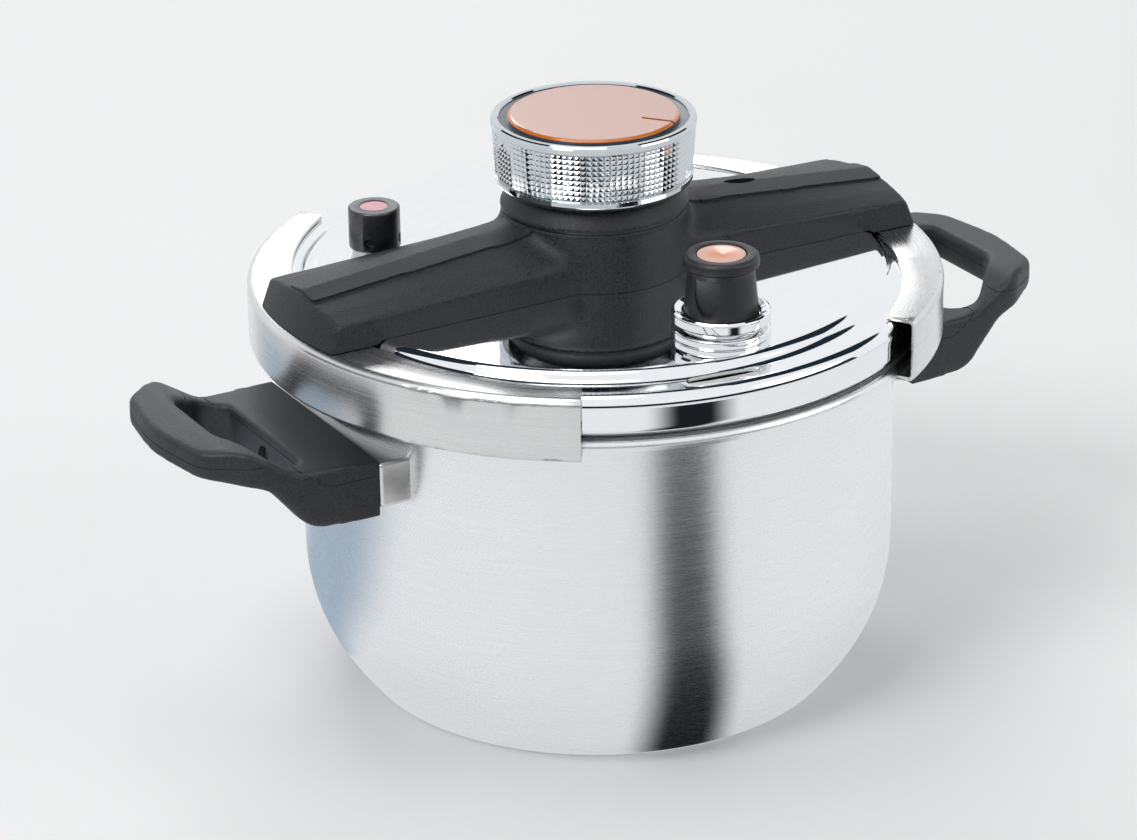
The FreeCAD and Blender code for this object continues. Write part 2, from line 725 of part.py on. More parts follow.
def make_knob_core():
    rim_r = knob_bore_r - seat_gap
    wall_r = rim_r - 2.0
    bore_r = spindle_flat - 2.0
    body = lathe([(opening_r, deck_z - 2.6), (wall_r, deck_z - 2.6), (wall_r, washer_z0),
                  (sleeve_r, washer_z0), (sleeve_r, spindle_z1 - 0.1), (bore_r, spindle_z1 - 0.1),
                  (bore_r, knob_z0 + 1), (sleeve_r, knob_z0 + 1), (sleeve_r, washer_z0 - 3.0),
                  (wall_r, washer_z0 - 3.0), (wall_r, knob_z0 + 0.8), (rim_r, knob_z0 + 0.8),
                  (rim_r, knob_z1 - 1.0), (disc_r + 0.3, deck_z), (opening_r, deck_z)])
    drive = flatted_bar(spindle_r + seat_gap, spindle_flat + seat_gap, hub_top_z, disc_top_z)
    return body.cut(drive)


def make_knob_disc():
    disc = lathe([(0, deck_z), (disc_r, deck_z), (disc_r, disc_top_z - 0.7, 0.5),
                  (disc_r - 1.0, disc_top_z, 2.0), (0, disc_top_z)])
    notch = Part.makeBox(20, 1.6, 3, V(19.0, -0.8, disc_top_z - 1.2))
    notch.rotate(V(0, 0, 0), UP, -52)
    return disc.cut(notch)


def make_thrust_washer():
    return tube(sleeve_r - 0.5, post_r + run_gap, washer_z0, washer_z0 + washer_h)


def make_post_nut():
    nut = hexagon(13.0, washer_z0 + washer_h, nut_top_z)
    return nut.cut(cylinder(post_r + seat_gap, spindle_z1, nut_top_z + 1))


# ---- pressure valve ---------------------------------------------------------------------
vent_stem_r = 4.4
vent_bore_r = 1.6
core_top_z = vent_tip_z + 10.0
valve_disc_r = 8.7
disc_depth = 1.2        # wells of the coloured discs in the caps
cap_roof_z = safety_top_z - 3.1     # underside of the safety cap's top


def make_nut(across, thread_r, at):
    """Hexagon nut under the lid, with its seal above it."""
    nut = hexagon(across, nut_z0, under_lid - seal_h, at)
    return nut.cut(through_lid(thread_r + seat_gap, at))


def make_seal(thread_r, at):
    return tube(thread_r + 4.5, thread_r + seat_gap, under_lid - seal_h, under_lid, at)


def make_vent_base():
    pad_z = plateau_z + 3.2
    inner = vent_thread_r + 0.1
    return lathe([(inner, plateau_z), (vent_ring_r, plateau_z, 0.6), (vent_ring_r, pad_z, 0.8),
                  (vent_ring_r - 3.0, pad_z, 0.5), (vent_ring_r - 4.2, valve_z0 - 0.3),
                  (inner, valve_z0 - 0.3)], at=vent_xy)


def make_vent_pipe():
    return lathe([(vent_bore_r, thread_z0), (vent_thread_r, thread_z0),
                  (vent_thread_r, valve_z0 - 0.3), (vent_stem_r, valve_z0 - 0.3),
                  (vent_stem_r, vent_tip_z), (vent_stem_r - 1.4, vent_tip_z + 1.5),
                  (vent_bore_r, vent_tip_z + 1.5)], at=vent_xy)


def make_vent_filter():
    radius, grip_r = 11.5, vent_thread_r + 0.05
    top, roof, foot = nut_z0 - 0.2, thread_z0 - 2.0, thread_z0 - 6.0
    cap = lathe([(grip_r, top), (grip_r, roof), (1.0, roof), (1.0, foot), (radius, foot, 1.5),
                 (radius, top, 0.8)], at=vent_xy)
    holes = []
    for i in range(12):
        angle = math.radians(30 * i)
        centre = (vent_xy[0] + 9 * math.cos(angle), vent_xy[1] + 9 * math.sin(angle))
        holes.append(cylinder(0.9, foot - 6, top + 2, centre))
    return cap.cut(Part.makeCompound(holes))


def make_valve_weight():
    bore_r = vent_stem_r + 0.4
    return lathe([(0, vent_tip_z + 2.0), (bore_r - 1.5, vent_tip_z + 2.0), (bore_r, vent_tip_z),
                  (bore_r, valve_z0 + 0.2), (vent_core_r, valve_z0 + 0.2),
                  (vent_core_r, core_top_z), (0, core_top_z)], at=vent_xy)


def make_valve_ring():
    inner = vent_core_r + 0.1
    return lathe([(inner, valve_z0), (vent_ring_r - 0.8, valve_z0), (vent_ring_r, valve_z0 + 0.8),
                  (vent_ring_r, valve_z0 + 4.0, 0.8), (vent_ring_r - 1.2, valve_z0 + 4.7, 0.5),
                  (vent_cap_r + 0.6, valve_z0 + 3.6), (vent_cap_r + 0.1, valve_z0 + 2.0),
                  (inner, valve_z0 + 2.0)], at=vent_xy)


def make_valve_cap():
    head_z = vent_top_z - vent_head_h
    inner = vent_core_r + 0.1
    floor, ceiling = vent_top_z - disc_depth, core_top_z + 0.1
    return lathe([(inner, valve_z0 + 2.0), (vent_cap_r, valve_z0 + 2.0),
                  (vent_cap_waist_r, head_z - 0.8, 0.8), (vent_cap_r, head_z + 0.6, 0.8),
                  (vent_cap_r, vent_top_z, 1.6), (valve_disc_r + 0.1, vent_top_z),
                  (valve_disc_r + 0.1, floor), (0, floor), (0, ceiling), (inner, ceiling)],
                 at=vent_xy)


def make_valve_disc():
    floor = vent_top_z - disc_depth
    return lathe([(0, floor), (valve_disc_r, floor), (valve_disc_r, vent_top_z - 0.3),
                  (valve_disc_r - 1.1, vent_top_z - 0.3), (0, vent_top_z - 0.6)], at=vent_xy)


# ---- safety valve -----------------------------------------------------------------------
safety_bore_r = 2.5     # steam way under the seat
safety_room_r = 5.0     # room for the poppet and its spring
safety_disc_r = 5.2
spring_r = 3.2
spring_wire_r = 0.5
spring_z0 = safety_seat_z + 4.6
neck_top_z = safety_seat_z + 13.0


def make_safety_base():
    foot_r = safety_neck_r + 2.0
    foot_z = plateau_z + 2.4
    return lathe([(safety_bore_r, thread_z0), (safety_thread_r, thread_z0),
                  (safety_thread_r, plateau_z), (foot_r, plateau_z), (foot_r, foot_z),
                  (foot_r - 0.6, foot_z + 0.4), (foot_r - 0.6, safety_cap_z0),
                  (safety_neck_r, safety_cap_z0), (safety_neck_r, neck_top_z),
                  (safety_room_r, neck_top_z), (safety_room_r, safety_seat_z + 2.0),
                  (safety_bore_r, safety_seat_z)], at=safety_xy)


def make_safety_poppet():
    head_r, stem_r = safety_room_r - 0.4, 1.5
    foot = safety_seat_z + 0.2
    return lathe([(0, foot), (safety_bore_r - 0.2, foot), (head_r, foot + 2.3),
                  (head_r, foot + 3.8), (stem_r, foot + 3.8), (stem_r, foot + 13.3),
                  (0, foot + 13.3)], at=safety_xy)


def make_safety_spring():
    helix = Part.makeHelix(2.4, cap_roof_z - 0.7 - spring_z0, spring_r)
    circle = Part.Circle(V(spring_r, 0, 0), V(0, 1, 0), spring_wire_r)
    spring = Part.Wire(helix).makePipeShell([Part.Wire([circle.toShape()])], True, True)
    spring.translate(V(safety_xy[0], safety_xy[1], spring_z0))
    return spring


def make_safety_cap():
    inner = safety_neck_r + seat_gap
    well_r = safety_disc_r + 0.1
    well_z = safety_top_z - disc_depth
    cap = lathe([(inner, safety_cap_z0), (safety_cap_r, safety_cap_z0, 0.4),
                 (safety_cap_r, safety_top_z, 0.8), (well_r, safety_top_z), (well_r, well_z),
                 (0, well_z), (0, cap_roof_z), (inner, cap_roof_z)], at=safety_xy)
    holes = []
    for i in range(4):
        hole = Part.makeCylinder(1.95, 12, V(safety_neck_r + 0.05, 0, safety_cap_z0 + 3.7), V(1, 0, 0))
        hole.rotate(V(0, 0, 0), UP, 90 * i + 15)
        hole.translate(V(safety_xy[0], safety_xy[1], 0))
        holes.append(hole)
    return cap.cut(Part.makeCompound(holes))


def make_safety_disc():
    return cylinder(safety_disc_r, safety_top_z - disc_depth, safety_top_z - 0.2, safety_xy)


# ---- float lock -------------------------------------------------------------------------
def make_float_housing():
    bore = float_r + 0.08
    return lathe([(bore, thread_z0), (float_thread_r, thread_z0), (float_thread_r, plateau_z),
                  (float_head_r, plateau_z), (float_head_r, arm_z0 - 0.5), (bore, arm_z0 - 0.5)],
                 at=float_xy)


def make_float_pin():
    head_r = 4.4
    head_z = thread_z0 - slide_gap - float_lift
    return lathe([(0, head_z - 2), (head_r, head_z - 2), (head_r, head_z), (float_r, head_z),
                  (float_r, arm_z0 - 1.5), (float_r - 1, arm_z0 - 0.5), (0, arm_z0 - 0.5)],
                 at=float_xy)


# ---- all nodes --------------------------------------------------------------------------
def build():
    os.makedirs("parts", exist_ok=True)
    save("pot_body", make_pot_body())
    save("base_cap", make_base_cap())
    save("base_core", make_base_core())
    bracket = make_bracket()
    save("bracket_right", bracket)
    save("bracket_left", half_turn(bracket))
    handle = make_handle()
    save("handle_right", handle)
    save("handle_left", half_turn(handle))
    save("handle_screws", both_sides(make_handle_screw()))

    save("lid_shell", make_lid_shell())
    save("gasket", make_gasket())
    save("guide_rail", make_guide_rail())
    save("glide_pads", make_glide_pads())
    save("guide_studs", make_guide_studs())
    save("pivot_post", make_post())
    save("beam_cover", make_beam_cover())
    save("hub_bush", make_hub_bush())
    save("hub_collar", make_hub_collar())
    save("cover_screws", make_cover_screws())
    save("screw_seals", make_screw_seals())

    jaw = cut_rivet_holes(make_jaw())
    save("jaw_right", jaw)
    save("jaw_left", half_turn(jaw))
    save("arm_right", make_arm(True))
    save("arm_left", half_turn(make_arm(False)))
    rivets = make_rivets()
    save("rivets_right", rivets)
    save("rivets_left", half_turn(rivets))
    pin = make_cam_pin()
    save("cam_pin_right", pin)
    save("cam_pin_left", half_turn(pin))

    save("cam_disc", make_cam_disc())
    save("drive_spindle", make_spindle())
    save("thrust_washer", make_thrust_washer())
    save("post_nut", make_post_nut())
    save("knob_ring", make_knob_ring())
    save("knob_core", make_knob_core())
    save("knob_disc", make_knob_disc())

    save("vent_base", make_vent_base())
    save("vent_pipe", make_vent_pipe())
    save("vent_nut", make_nut(19.0, vent_thread_r, vent_xy))
    save("vent_seal", make_seal(vent_thread_r, vent_xy))
    save("vent_filter", make_vent_filter())
    save("valve_weight", make_valve_weight())
    save("valve_ring", make_valve_ring())
    save("valve_cap", make_valve_cap())
    save("valve_disc", make_valve_disc())

    save("safety_base", make_safety_base())
    save("safety_nut", make_nut(16.0, safety_thread_r, safety_xy))
    save("safety_seal", make_seal(safety_thread_r, safety_xy))
    save("safety_poppet", make_safety_poppet())
    save("safety_spring", make_safety_spring())
    save("safety_cap", make_safety_cap())
    save("safety_disc", make_safety_disc())

    save("float_housing", make_float_housing())
    save("float_nut", make_nut(14.0, float_thread_r, float_xy))
    save("float_seal", make_seal(float_thread_r, float_xy))
    save("float_pin", make_float_pin())


build()
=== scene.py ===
# %% [markdown]
# # Dressing a stovetop pressure cooker
# The CAD model already holds every piece at its real size and on its moving body. It is loaded
# as a frame that stays fixed. This script gives the pieces the finishes of the real cooker and
# models again those whose looks depend on smooth bends and soft edges: the pot, the lid, the beam,
# the handles with their brackets, the knurled ring and the valve's cap. The jaws and a few small
# pieces are copied and get eased edges. Lengths in the lists are millimetres; MM makes them metres.

# %% Load the frame
import math

import bmesh
import bpy
from mathutils import Matrix, Quaternion, Vector


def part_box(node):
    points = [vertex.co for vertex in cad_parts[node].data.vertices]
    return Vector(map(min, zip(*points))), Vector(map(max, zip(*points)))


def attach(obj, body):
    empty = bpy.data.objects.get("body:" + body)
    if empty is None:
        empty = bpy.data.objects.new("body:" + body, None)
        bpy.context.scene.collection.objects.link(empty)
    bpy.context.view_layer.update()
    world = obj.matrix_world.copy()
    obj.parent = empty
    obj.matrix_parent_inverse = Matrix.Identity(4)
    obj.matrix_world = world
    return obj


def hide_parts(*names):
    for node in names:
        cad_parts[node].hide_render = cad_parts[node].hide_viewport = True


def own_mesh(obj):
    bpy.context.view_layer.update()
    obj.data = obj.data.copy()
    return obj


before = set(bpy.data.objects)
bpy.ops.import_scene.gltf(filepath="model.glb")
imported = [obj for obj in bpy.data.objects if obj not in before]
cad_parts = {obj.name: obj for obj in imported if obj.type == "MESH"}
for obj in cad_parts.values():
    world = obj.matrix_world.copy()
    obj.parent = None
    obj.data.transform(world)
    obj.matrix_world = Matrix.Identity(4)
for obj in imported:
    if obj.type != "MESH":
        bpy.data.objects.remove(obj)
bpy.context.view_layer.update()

MM = 0.001

# %% [markdown]
# ## Tools for the modelling
# An operator works on whatever is selected, so each step starts from a clean selection. In edit
# mode the parts to change are picked by where they are, as a modeller picks them by eye. A new
# piece starts as a line drawn point by point, which is the quickest way to get the exact
# outline of a moulding or a turned part.

# %% Selecting
def clear_selection():
    if bpy.context.object and bpy.context.object.mode != "OBJECT":
        bpy.ops.object.mode_set(mode="OBJECT")
    bpy.ops.object.select_all(action="DESELECT")


def work_on(piece):
    clear_selection()
    piece.select_set(True)
    bpy.context.view_layer.objects.active = piece


def edit(piece):
    work_on(piece)
    bpy.ops.object.mode_set(mode="EDIT")


def pick(test, kind="VERT"):
    """In edit mode, select only the vertices, edges or faces whose middle passes the test."""
    bpy.ops.mesh.select_mode(type=kind)
    bpy.ops.mesh.select_all(action="DESELECT")
    mesh = bmesh.from_edit_mesh(bpy.context.object.data)
    items = {"VERT": mesh.verts, "EDGE": mesh.edges, "FACE": mesh.faces}[kind]
    for item in items:
        points = [item.co] if kind == "VERT" else [v.co for v in item.verts]
        if test(sum(points, Vector()) / len(points) / MM):
            item.select_set(True)
    bmesh.update_edit_mesh(bpy.context.object.data)


def shift(test, by):
    """In edit mode, move the vertices that pass the test, in millimetres."""
    pick(test)
    bpy.ops.transform.translate(value=Vector(by) * MM)


# %% Drawing a line and raising it
def draw(name, points):
    """A new object in edit mode that holds one line through the points."""
    clear_selection()
    bpy.ops.mesh.primitive_plane_add(size=MM, location=(0, 0, 0))
    piece = bpy.context.object
    piece.name = name
    bpy.ops.object.mode_set(mode="EDIT")
    bpy.ops.mesh.select_mode(type="VERT")
    bpy.ops.mesh.select_all(action="SELECT")
    bpy.ops.mesh.merge(type="CENTER")
    bpy.ops.transform.translate(value=Vector(points[0]) * MM)
    for here, there in zip(points, points[1:]):
        step = (Vector(there) - Vector(here)) * MM
        bpy.ops.mesh.extrude_region_move(TRANSFORM_OT_translate={"value": step})
    return piece


def raise_face(name, points, by):
    """A closed outline filled with one face and extruded: a prism."""
    piece = draw(name, points)
    bpy.ops.mesh.select_all(action="SELECT")
    bpy.ops.mesh.edge_face_add()
    bpy.ops.mesh.extrude_region_move(TRANSFORM_OT_translate={"value": Vector(by) * MM})
    close_up(piece)
    return piece


def close_up(piece):
    """Merge doubled points, turn all faces outwards and go back to object mode."""
    bpy.ops.mesh.select_all(action="SELECT")
    bpy.ops.mesh.remove_doubles(threshold=1e-6)
    bpy.ops.mesh.delete_loose(use_faces=False)
    bpy.ops.mesh.select_all(action="SELECT")
    bpy.ops.mesh.normals_make_consistent(inside=False)
    bpy.ops.object.mode_set(mode="OBJECT")


def turn_on_lathe(name, profile, steps=96, centre=(0, 0), angle=360.0, start=0.0):
    """A (radius, z) outline spun about an upright axis; a full turn closes on itself."""
    x, y = centre
    lead = math.radians(start)
    points = [(x + r * math.cos(lead), y + r * math.sin(lead), z) for r, z in profile]
    piece = draw(name, points)
    bpy.ops.mesh.select_all(action="SELECT")
    bpy.ops.mesh.spin(steps=steps, angle=math.radians(angle), center=(x * MM, y * MM, 0),
                      axis=(0, 0, 1))
    close_up(piece)
    return piece


# %% Rounded outlines and bent sheet
def rounded(corners, steps=6, closed=True):
    """The corners of a line, each rounded by its own radius, if it has one."""
    points = []
    for i, (a, b, *radius) in enumerate(corners):
        here = Vector((a, b))
        if not radius or (not closed and i in (0, len(corners) - 1)):
            points.append(here)
            continue
        to_last = (Vector(corners[i - 1][:2]) - here).normalized()
        to_next = (Vector(corners[(i + 1) % len(corners)][:2]) - here).normalized()
        half = to_last.angle(to_next) / 2
        cut = radius[0] / math.tan(half)
        middle = here + (to_last + to_next).normalized() * (radius[0] / math.sin(half))
        first, last = here + to_last * cut - middle, here + to_next * cut - middle
        swing = first.angle_signed(last)
        for k in range(steps + 1):
            turn = -swing * k / steps
            points.append(middle + Vector((first.x * math.cos(turn) - first.y * math.sin(turn),
                                           first.x * math.sin(turn) + first.y * math.cos(turn))))
    return points


def outline_of(corners, place):
    return [place(point.x, point.y) for point in rounded(corners)]


def both_halves(corners):
    """A closed outline from the corners on its +Y side."""
    return corners + [(a, -b, radius) for a, b, radius in corners[::-1] if b > 0]


def bent_sheet(path, thickness, margin=1.5):
    """(radius, z) outline of a sheet that lies beside its path; thickness > 0 is the left side.

    Each straight run gets two more points near its ends, so that it is shaded flat.
    """
    bends = rounded(path, steps=14, closed=False)
    line = bends[:1]
    for start, end in zip(bends, bends[1:]):
        run = end - start
        if run.length > 3 * margin:
            line += [start + run.normalized() * margin, end - run.normalized() * margin]
        line.append(end)
    beside = []
    for i, here in enumerate(line):
        near = line[max(i - 1, 0):i + 2]
        sides = [Vector((p.y - q.y, q.x - p.x)).normalized() for p, q in zip(near, near[1:])]
        middle = sum(sides, Vector((0, 0))).normalized()
        beside.append(here + middle * (thickness / middle.dot(sides[0])))
    return [tuple(point) for point in line + beside[::-1]]


def rod(radius, depth, place, sides=48, lying=False, stretch=1.0):
    """An upright cylinder, or one that lies along X; stretch makes it oval in X."""
    clear_selection()
    bpy.ops.mesh.primitive_cylinder_add(vertices=sides, radius=radius * MM, depth=depth * MM,
                                        location=[c * MM for c in place], scale=(stretch, 1, 1),
                                        rotation=(0, math.pi / 2 if lying else 0, 0))
    return bpy.context.object


def centre_of(node):
    """Middle of a CAD node's box, in millimetres."""
    low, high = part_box(node)
    return (low + high) / 2 / MM


# %% Modifiers and finishing touches
def modify(piece, kind, **settings):
    work_on(piece)
    modifier = piece.modifiers.new(kind.title(), kind)
    for key, value in settings.items():
        setattr(modifier, key, value)
    bpy.ops.object.modifier_apply(modifier=modifier.name)


def carve(piece, cutter, operation="DIFFERENCE"):
    """Boolean with a helper object, which is used up."""
    modify(piece, "BOOLEAN", operation=operation, object=cutter, solver="EXACT")
    bpy.data.objects.remove(cutter)


def soften(piece, voxel, rounds):
    """Melt a blocky piece into one skin and smooth it, which rounds every edge alike."""
    modify(piece, "REMESH", mode="VOXEL", voxel_size=voxel * MM)
    modify(piece, "SMOOTH", factor=0.5, iterations=rounds)


def soften_part(piece, test, rounds):
    """Smooth only the vertices that pass the test."""
    edit(piece)
    pick(test)
    bpy.ops.object.vertex_group_assign_new()
    bpy.ops.object.mode_set(mode="OBJECT")
    modify(piece, "SMOOTH", factor=0.5, iterations=rounds,
           vertex_group=piece.vertex_groups[0].name)


def slice_by(point, normal, snap=0.001, **settings):
    """In edit mode, cut the selected faces by a plane; point and snap are in millimetres."""
    bpy.ops.mesh.bisect(plane_co=[c * MM for c in point], plane_no=normal, threshold=snap * MM,
                        **settings)


def ease_edges(piece, width, degrees):
    """Bevel the edges that are sharper than the angle."""
    modify(piece, "BEVEL", width=width * MM, segments=2, limit_method="ANGLE",
           angle_limit=math.radians(degrees))


def smooth_shading(piece, degrees):
    work_on(piece)
    bpy.ops.object.shade_smooth_by_angle(angle=math.radians(degrees))


def half_turned(piece, name):
    """A copy with its own mesh, turned half a turn about the cooker's axis."""
    work_on(piece)
    bpy.ops.object.duplicate()
    other = bpy.context.object
    other.name = name
    other.rotation_euler = (0, 0, math.pi)
    bpy.ops.object.transform_apply(location=True, rotation=True, scale=True)
    return other


def fit_out(piece, body, nodes, material):
    """Put the finish on a piece and let it stand for its CAD nodes on their body."""
    piece.data.materials.clear()
    piece.data.materials.append(material)
    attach(piece, body)
    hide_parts(*nodes)
    print(piece.name, "rides on", body, "with", len(piece.data.polygons), "faces")


# %% [markdown]
# ## Camera, floor and light
# A long lens, well above the rim, looks at the beam from its left front. Metal shows only what
# stands around it, so a pale floor and a white surround make steel bright. Four wide lamps give
# soft shadows on the floor.

# %% Camera
LOOK_AT = Vector((0, 0, 0.085))
bpy.ops.object.camera_add(location=(-0.7343, -1.2719, 0.7340))
camera = bpy.context.object
aim = (LOOK_AT - camera.location).to_track_quat("-Z", "Y")
camera.rotation_mode = "QUATERNION"
camera.rotation_quaternion = aim @ Quaternion((0, 0, 1), math.radians(-0.63))
camera.data.sensor_width = 36.0
camera.data.lens = 133.52
camera.data.shift_x = -0.0253
camera.data.shift_y = 0.0231
camera.data.clip_start, camera.data.clip_end = 0.05, 50.0
bpy.context.scene.camera = camera
bpy.context.scene.view_settings.view_transform = "Standard"
print("camera", [round(c, 3) for c in camera.location], "lens", camera.data.lens)


# %% Node helpers
def new_finish(name):
    material = bpy.data.materials.new(name)
    material.use_nodes = True
    tree = material.node_tree
    return material, tree, tree.nodes["Principled BSDF"]


def add_node(tree, kind, inputs=None, **settings):
    """A node with its settings; an input is a number, a colour or another node's socket."""
    node = tree.nodes.new("ShaderNode" + kind)
    for key, value in settings.items():
        setattr(node, key, value)
    for key, value in (inputs or {}).items():
        if isinstance(value, bpy.types.NodeSocket):
            tree.links.new(value, node.inputs[key])
        else:
            node.inputs[key].default_value = value
    return node


# %% World: softer for the lighting, plain white where the camera or metal sees it
world = bpy.data.worlds.new("studio")
bpy.context.scene.world = world
world.use_nodes = True
sky = world.node_tree
background = sky.nodes["Background"]
background.inputs["Color"].default_value = (0.97, 0.985, 1.0, 1)
path = add_node(sky, "LightPath")
seen = add_node(sky, "Math", {0: path.outputs["Is Camera Ray"], 1: path.outputs["Is Glossy Ray"]},
                operation="MAXIMUM")
level = add_node(sky, "MapRange", {"Value": seen.outputs[0], "To Min": 0.42, "To Max": 1.0})
sky.links.new(level.outputs["Result"], background.inputs["Strength"])

# %% Floor
floor_finish, tree, shader = new_finish("pale_floor")
place = add_node(tree, "TexCoord")
mottle = add_node(tree, "TexNoise", {"Vector": place.outputs["Object"], "Scale": 3.0})
tint = add_node(tree, "MapRange", {"Value": mottle.outputs["Fac"], "To Min": 0.80, "To Max": 0.84})
tree.links.new(tint.outputs["Result"], shader.inputs["Base Color"])
shader.inputs["Roughness"].default_value = 0.6
shader.inputs["Specular IOR Level"].default_value = 0.0
path = add_node(tree, "LightPath")
share = add_node(tree, "Math", {0: path.outputs["Is Glossy Ray"], 1: 0.6}, operation="MULTIPLY")
glow = add_node(tree, "Emission", {"Color": (0.95, 0.965, 0.98, 1), "Strength": 1.0})
mixed = add_node(tree, "MixShader", {0: share.outputs[0], 1: shader.outputs["BSDF"],
                                     2: glow.outputs["Emission"]})
tree.links.new(mixed.outputs["Shader"], tree.nodes["Material Output"].inputs["Surface"])
clear_selection()
bpy.ops.mesh.primitive_plane_add(size=12.0, location=(0, 0, -0.0002))
floor = bpy.context.object
floor.name = "floor"
floor.data.materials.append(floor_finish)


# %% Lamps
def lamp(name, place, size, power):
    bpy.ops.object.light_add(type="AREA", location=place)
    light = bpy.context.object
    light.name = name
    light.data.shape = "DISK"
    light.data.size = size
    light.data.energy = power
    aim = (Vector((0, 0, 0.1)) - light.location).to_track_quat("-Z", "Y")
    light.rotation_euler = aim.to_euler()
    print(name, "lamp:", power, "W")


lamp("key", (-1.6, -0.6, 1.9), 1.2, 23.0)
lamp("fill", (1.5, -1.5, 1.3), 1.4, 9.0)
lamp("top", (-0.2, 0.3, 2.2), 1.2, 8.0)
lamp("back", (0.6, 1.7, 1.6), 1.4, 16.0)

# %% [markdown]
# ### Cards for the reflections
# Polished steel in a white room looks flat, so cards stand round the cooker. A black card on the
# floor makes the dark upright band on the pot, and a blue-grey one cools its left side. Two navy
# rings higher up draw dark lines along the bends of the lid. The cards on the floor fade out
# sideways, because the band's edges are soft. The cards throw no light and no shade.

# %% Cards around the cooker, seen only in reflections
def card_finish(name, colour, fading=True):
    """Matt card, which may fade out towards its left and right edges."""
    material, tree, shader = new_finish(name)
    place = add_node(tree, "TexCoord")
    nap = add_node(tree, "TexNoise", {"Vector": place.outputs["Object"], "Scale": 900.0})
    tint = add_node(tree, "HueSaturation", {"Value": nap.outputs["Fac"], "Color": (*colour, 1)})
    shade = add_node(tree, "Emission", {"Color": tint.outputs["Color"], "Strength": 2.0})
    if not fading:
        tree.links.new(shade.outputs["Emission"], tree.nodes["Material Output"].inputs["Surface"])
        return material
    split = add_node(tree, "SeparateXYZ", {"Vector": place.outputs["UV"]})
    fade = add_node(tree, "ValToRGB", {"Fac": split.outputs["X"]})
    fade.color_ramp.interpolation = "EASE"
    fade.color_ramp.elements[0].color = (0, 0, 0, 1)
    fade.color_ramp.elements[1].color = (0, 0, 0, 1)
    for position in (0.36, 0.64):
        fade.color_ramp.elements.new(position).color = (1, 1, 1, 1)
    clear = add_node(tree, "BsdfTransparent")
    mixed = add_node(tree, "MixShader", {0: fade.outputs["Color"], 1: clear.outputs["BSDF"],
                                         2: shade.outputs["Emission"]})
    tree.links.new(mixed.outputs["Shader"], tree.nodes["Material Output"].inputs["Surface"])
    return material


def around(azimuth, distance, height):
    angle = math.radians(azimuth)
    return Vector((distance * math.cos(angle), distance * math.sin(angle), height))


def card(name, left_near, right_near, left_far, right_far, finish):
    """A four-sided card; the fade runs from its left side to its right side."""
    clear_selection()
    bpy.ops.mesh.primitive_plane_add(size=2 * MM, location=(0, 0, 0))
    piece = bpy.context.object
    piece.name = name
    bpy.ops.object.mode_set(mode="EDIT")
    for x, y, corner in ((-1, -1, left_near), (1, -1, right_near), (-1, 1, left_far),
                         (1, 1, right_far)):
        shift(lambda p: (p - Vector((x, y, 0))).length < 0.1, corner - Vector((x, y, 0)))
    bpy.ops.mesh.select_all(action="SELECT")
    bpy.ops.mesh.subdivide(number_cuts=24)
    bpy.ops.object.mode_set(mode="OBJECT")
    show_in_metal(piece, finish)


def show_in_metal(piece, finish):
    """Only reflections see the card; it throws no light or shade."""
    piece.data.materials.append(finish)
    piece.visible_camera = False
    piece.visible_diffuse = False
    piece.visible_shadow = False


black_card = card_finish("black_card", (0.012, 0.014, 0.017))
blue_card = card_finish("blue_card", (0.40, 0.49, 0.58))
navy_card = card_finish("navy_card", (0.014, 0.024, 0.036), fading=False)
card("floor_card", around(-122, 62, 1), around(-92, 62, 1), around(-106, 620, 1),
     around(-75, 620, 1), black_card)
card("left_floor_card", around(172, 116, 1), around(104, 116, 1), around(176, 620, 1),
     around(100, 620, 1), blue_card)
show_in_metal(turn_on_lathe("horizon", [(900, 150), (900, 400)], 48, angle=190, start=-30),
              navy_card)
show_in_metal(turn_on_lathe("canopy", [(240, 720), (540, 540)], 48, angle=170, start=-205),
              navy_card)

# %% [markdown]
# ## Finishes
# Every finish is a small net of nodes over the object's own coordinates: a noise gives the grain,
# and from it come the tone, the gloss and the relief. Steel that was spun or brushed on a turning
# machine has its grain in rings round the axis, so its noise is read along the radius and the
# height and hardly changes on the way round.

# %% Two kinds of grain
def even_grain(tree, scale, detail=3.0, stretch=(1, 1, 1)):
    place = add_node(tree, "TexCoord")
    spread = add_node(tree, "Mapping", {"Vector": place.outputs["Object"], "Scale": stretch})
    noise = add_node(tree, "TexNoise", {"Vector": spread.outputs["Vector"], "Scale": scale,
                                        "Detail": detail})
    return noise.outputs["Fac"]


def ring_grain(tree, scale, around_scale=4.0, centre=(0, 0, 0)):
    """Noise in streaks that run round an upright axis."""
    place = add_node(tree, "TexCoord")
    moved = add_node(tree, "Mapping", {"Vector": place.outputs["Object"],
                                       "Location": tuple(-c for c in centre)})
    flat = add_node(tree, "VectorMath", {0: moved.outputs["Vector"], 1: (1, 1, 0)},
                    operation="MULTIPLY")
    radius = add_node(tree, "VectorMath", {0: flat.outputs["Vector"]}, operation="LENGTH")
    heading = add_node(tree, "VectorMath", {0: flat.outputs["Vector"]}, operation="NORMALIZE")
    split = add_node(tree, "SeparateXYZ", {"Vector": moved.outputs["Vector"]})
    slope = add_node(tree, "Math", {0: split.outputs["Z"], 1: 1.3, 2: radius.outputs["Value"]},
                     operation="MULTIPLY_ADD")
    reach = add_node(tree, "Math", {0: slope.outputs[0], 1: scale / around_scale},
                     operation="MULTIPLY")
    lift = add_node(tree, "CombineXYZ", {"Z": reach.outputs[0]})
    point = add_node(tree, "VectorMath", {0: heading.outputs["Vector"], 1: lift.outputs["Vector"]},
                     operation="ADD")
    noise = add_node(tree, "TexNoise", {"Vector": point.outputs["Vector"], "Scale": around_scale,
                                        "Detail": 2.0})
    return noise.outputs["Fac"]


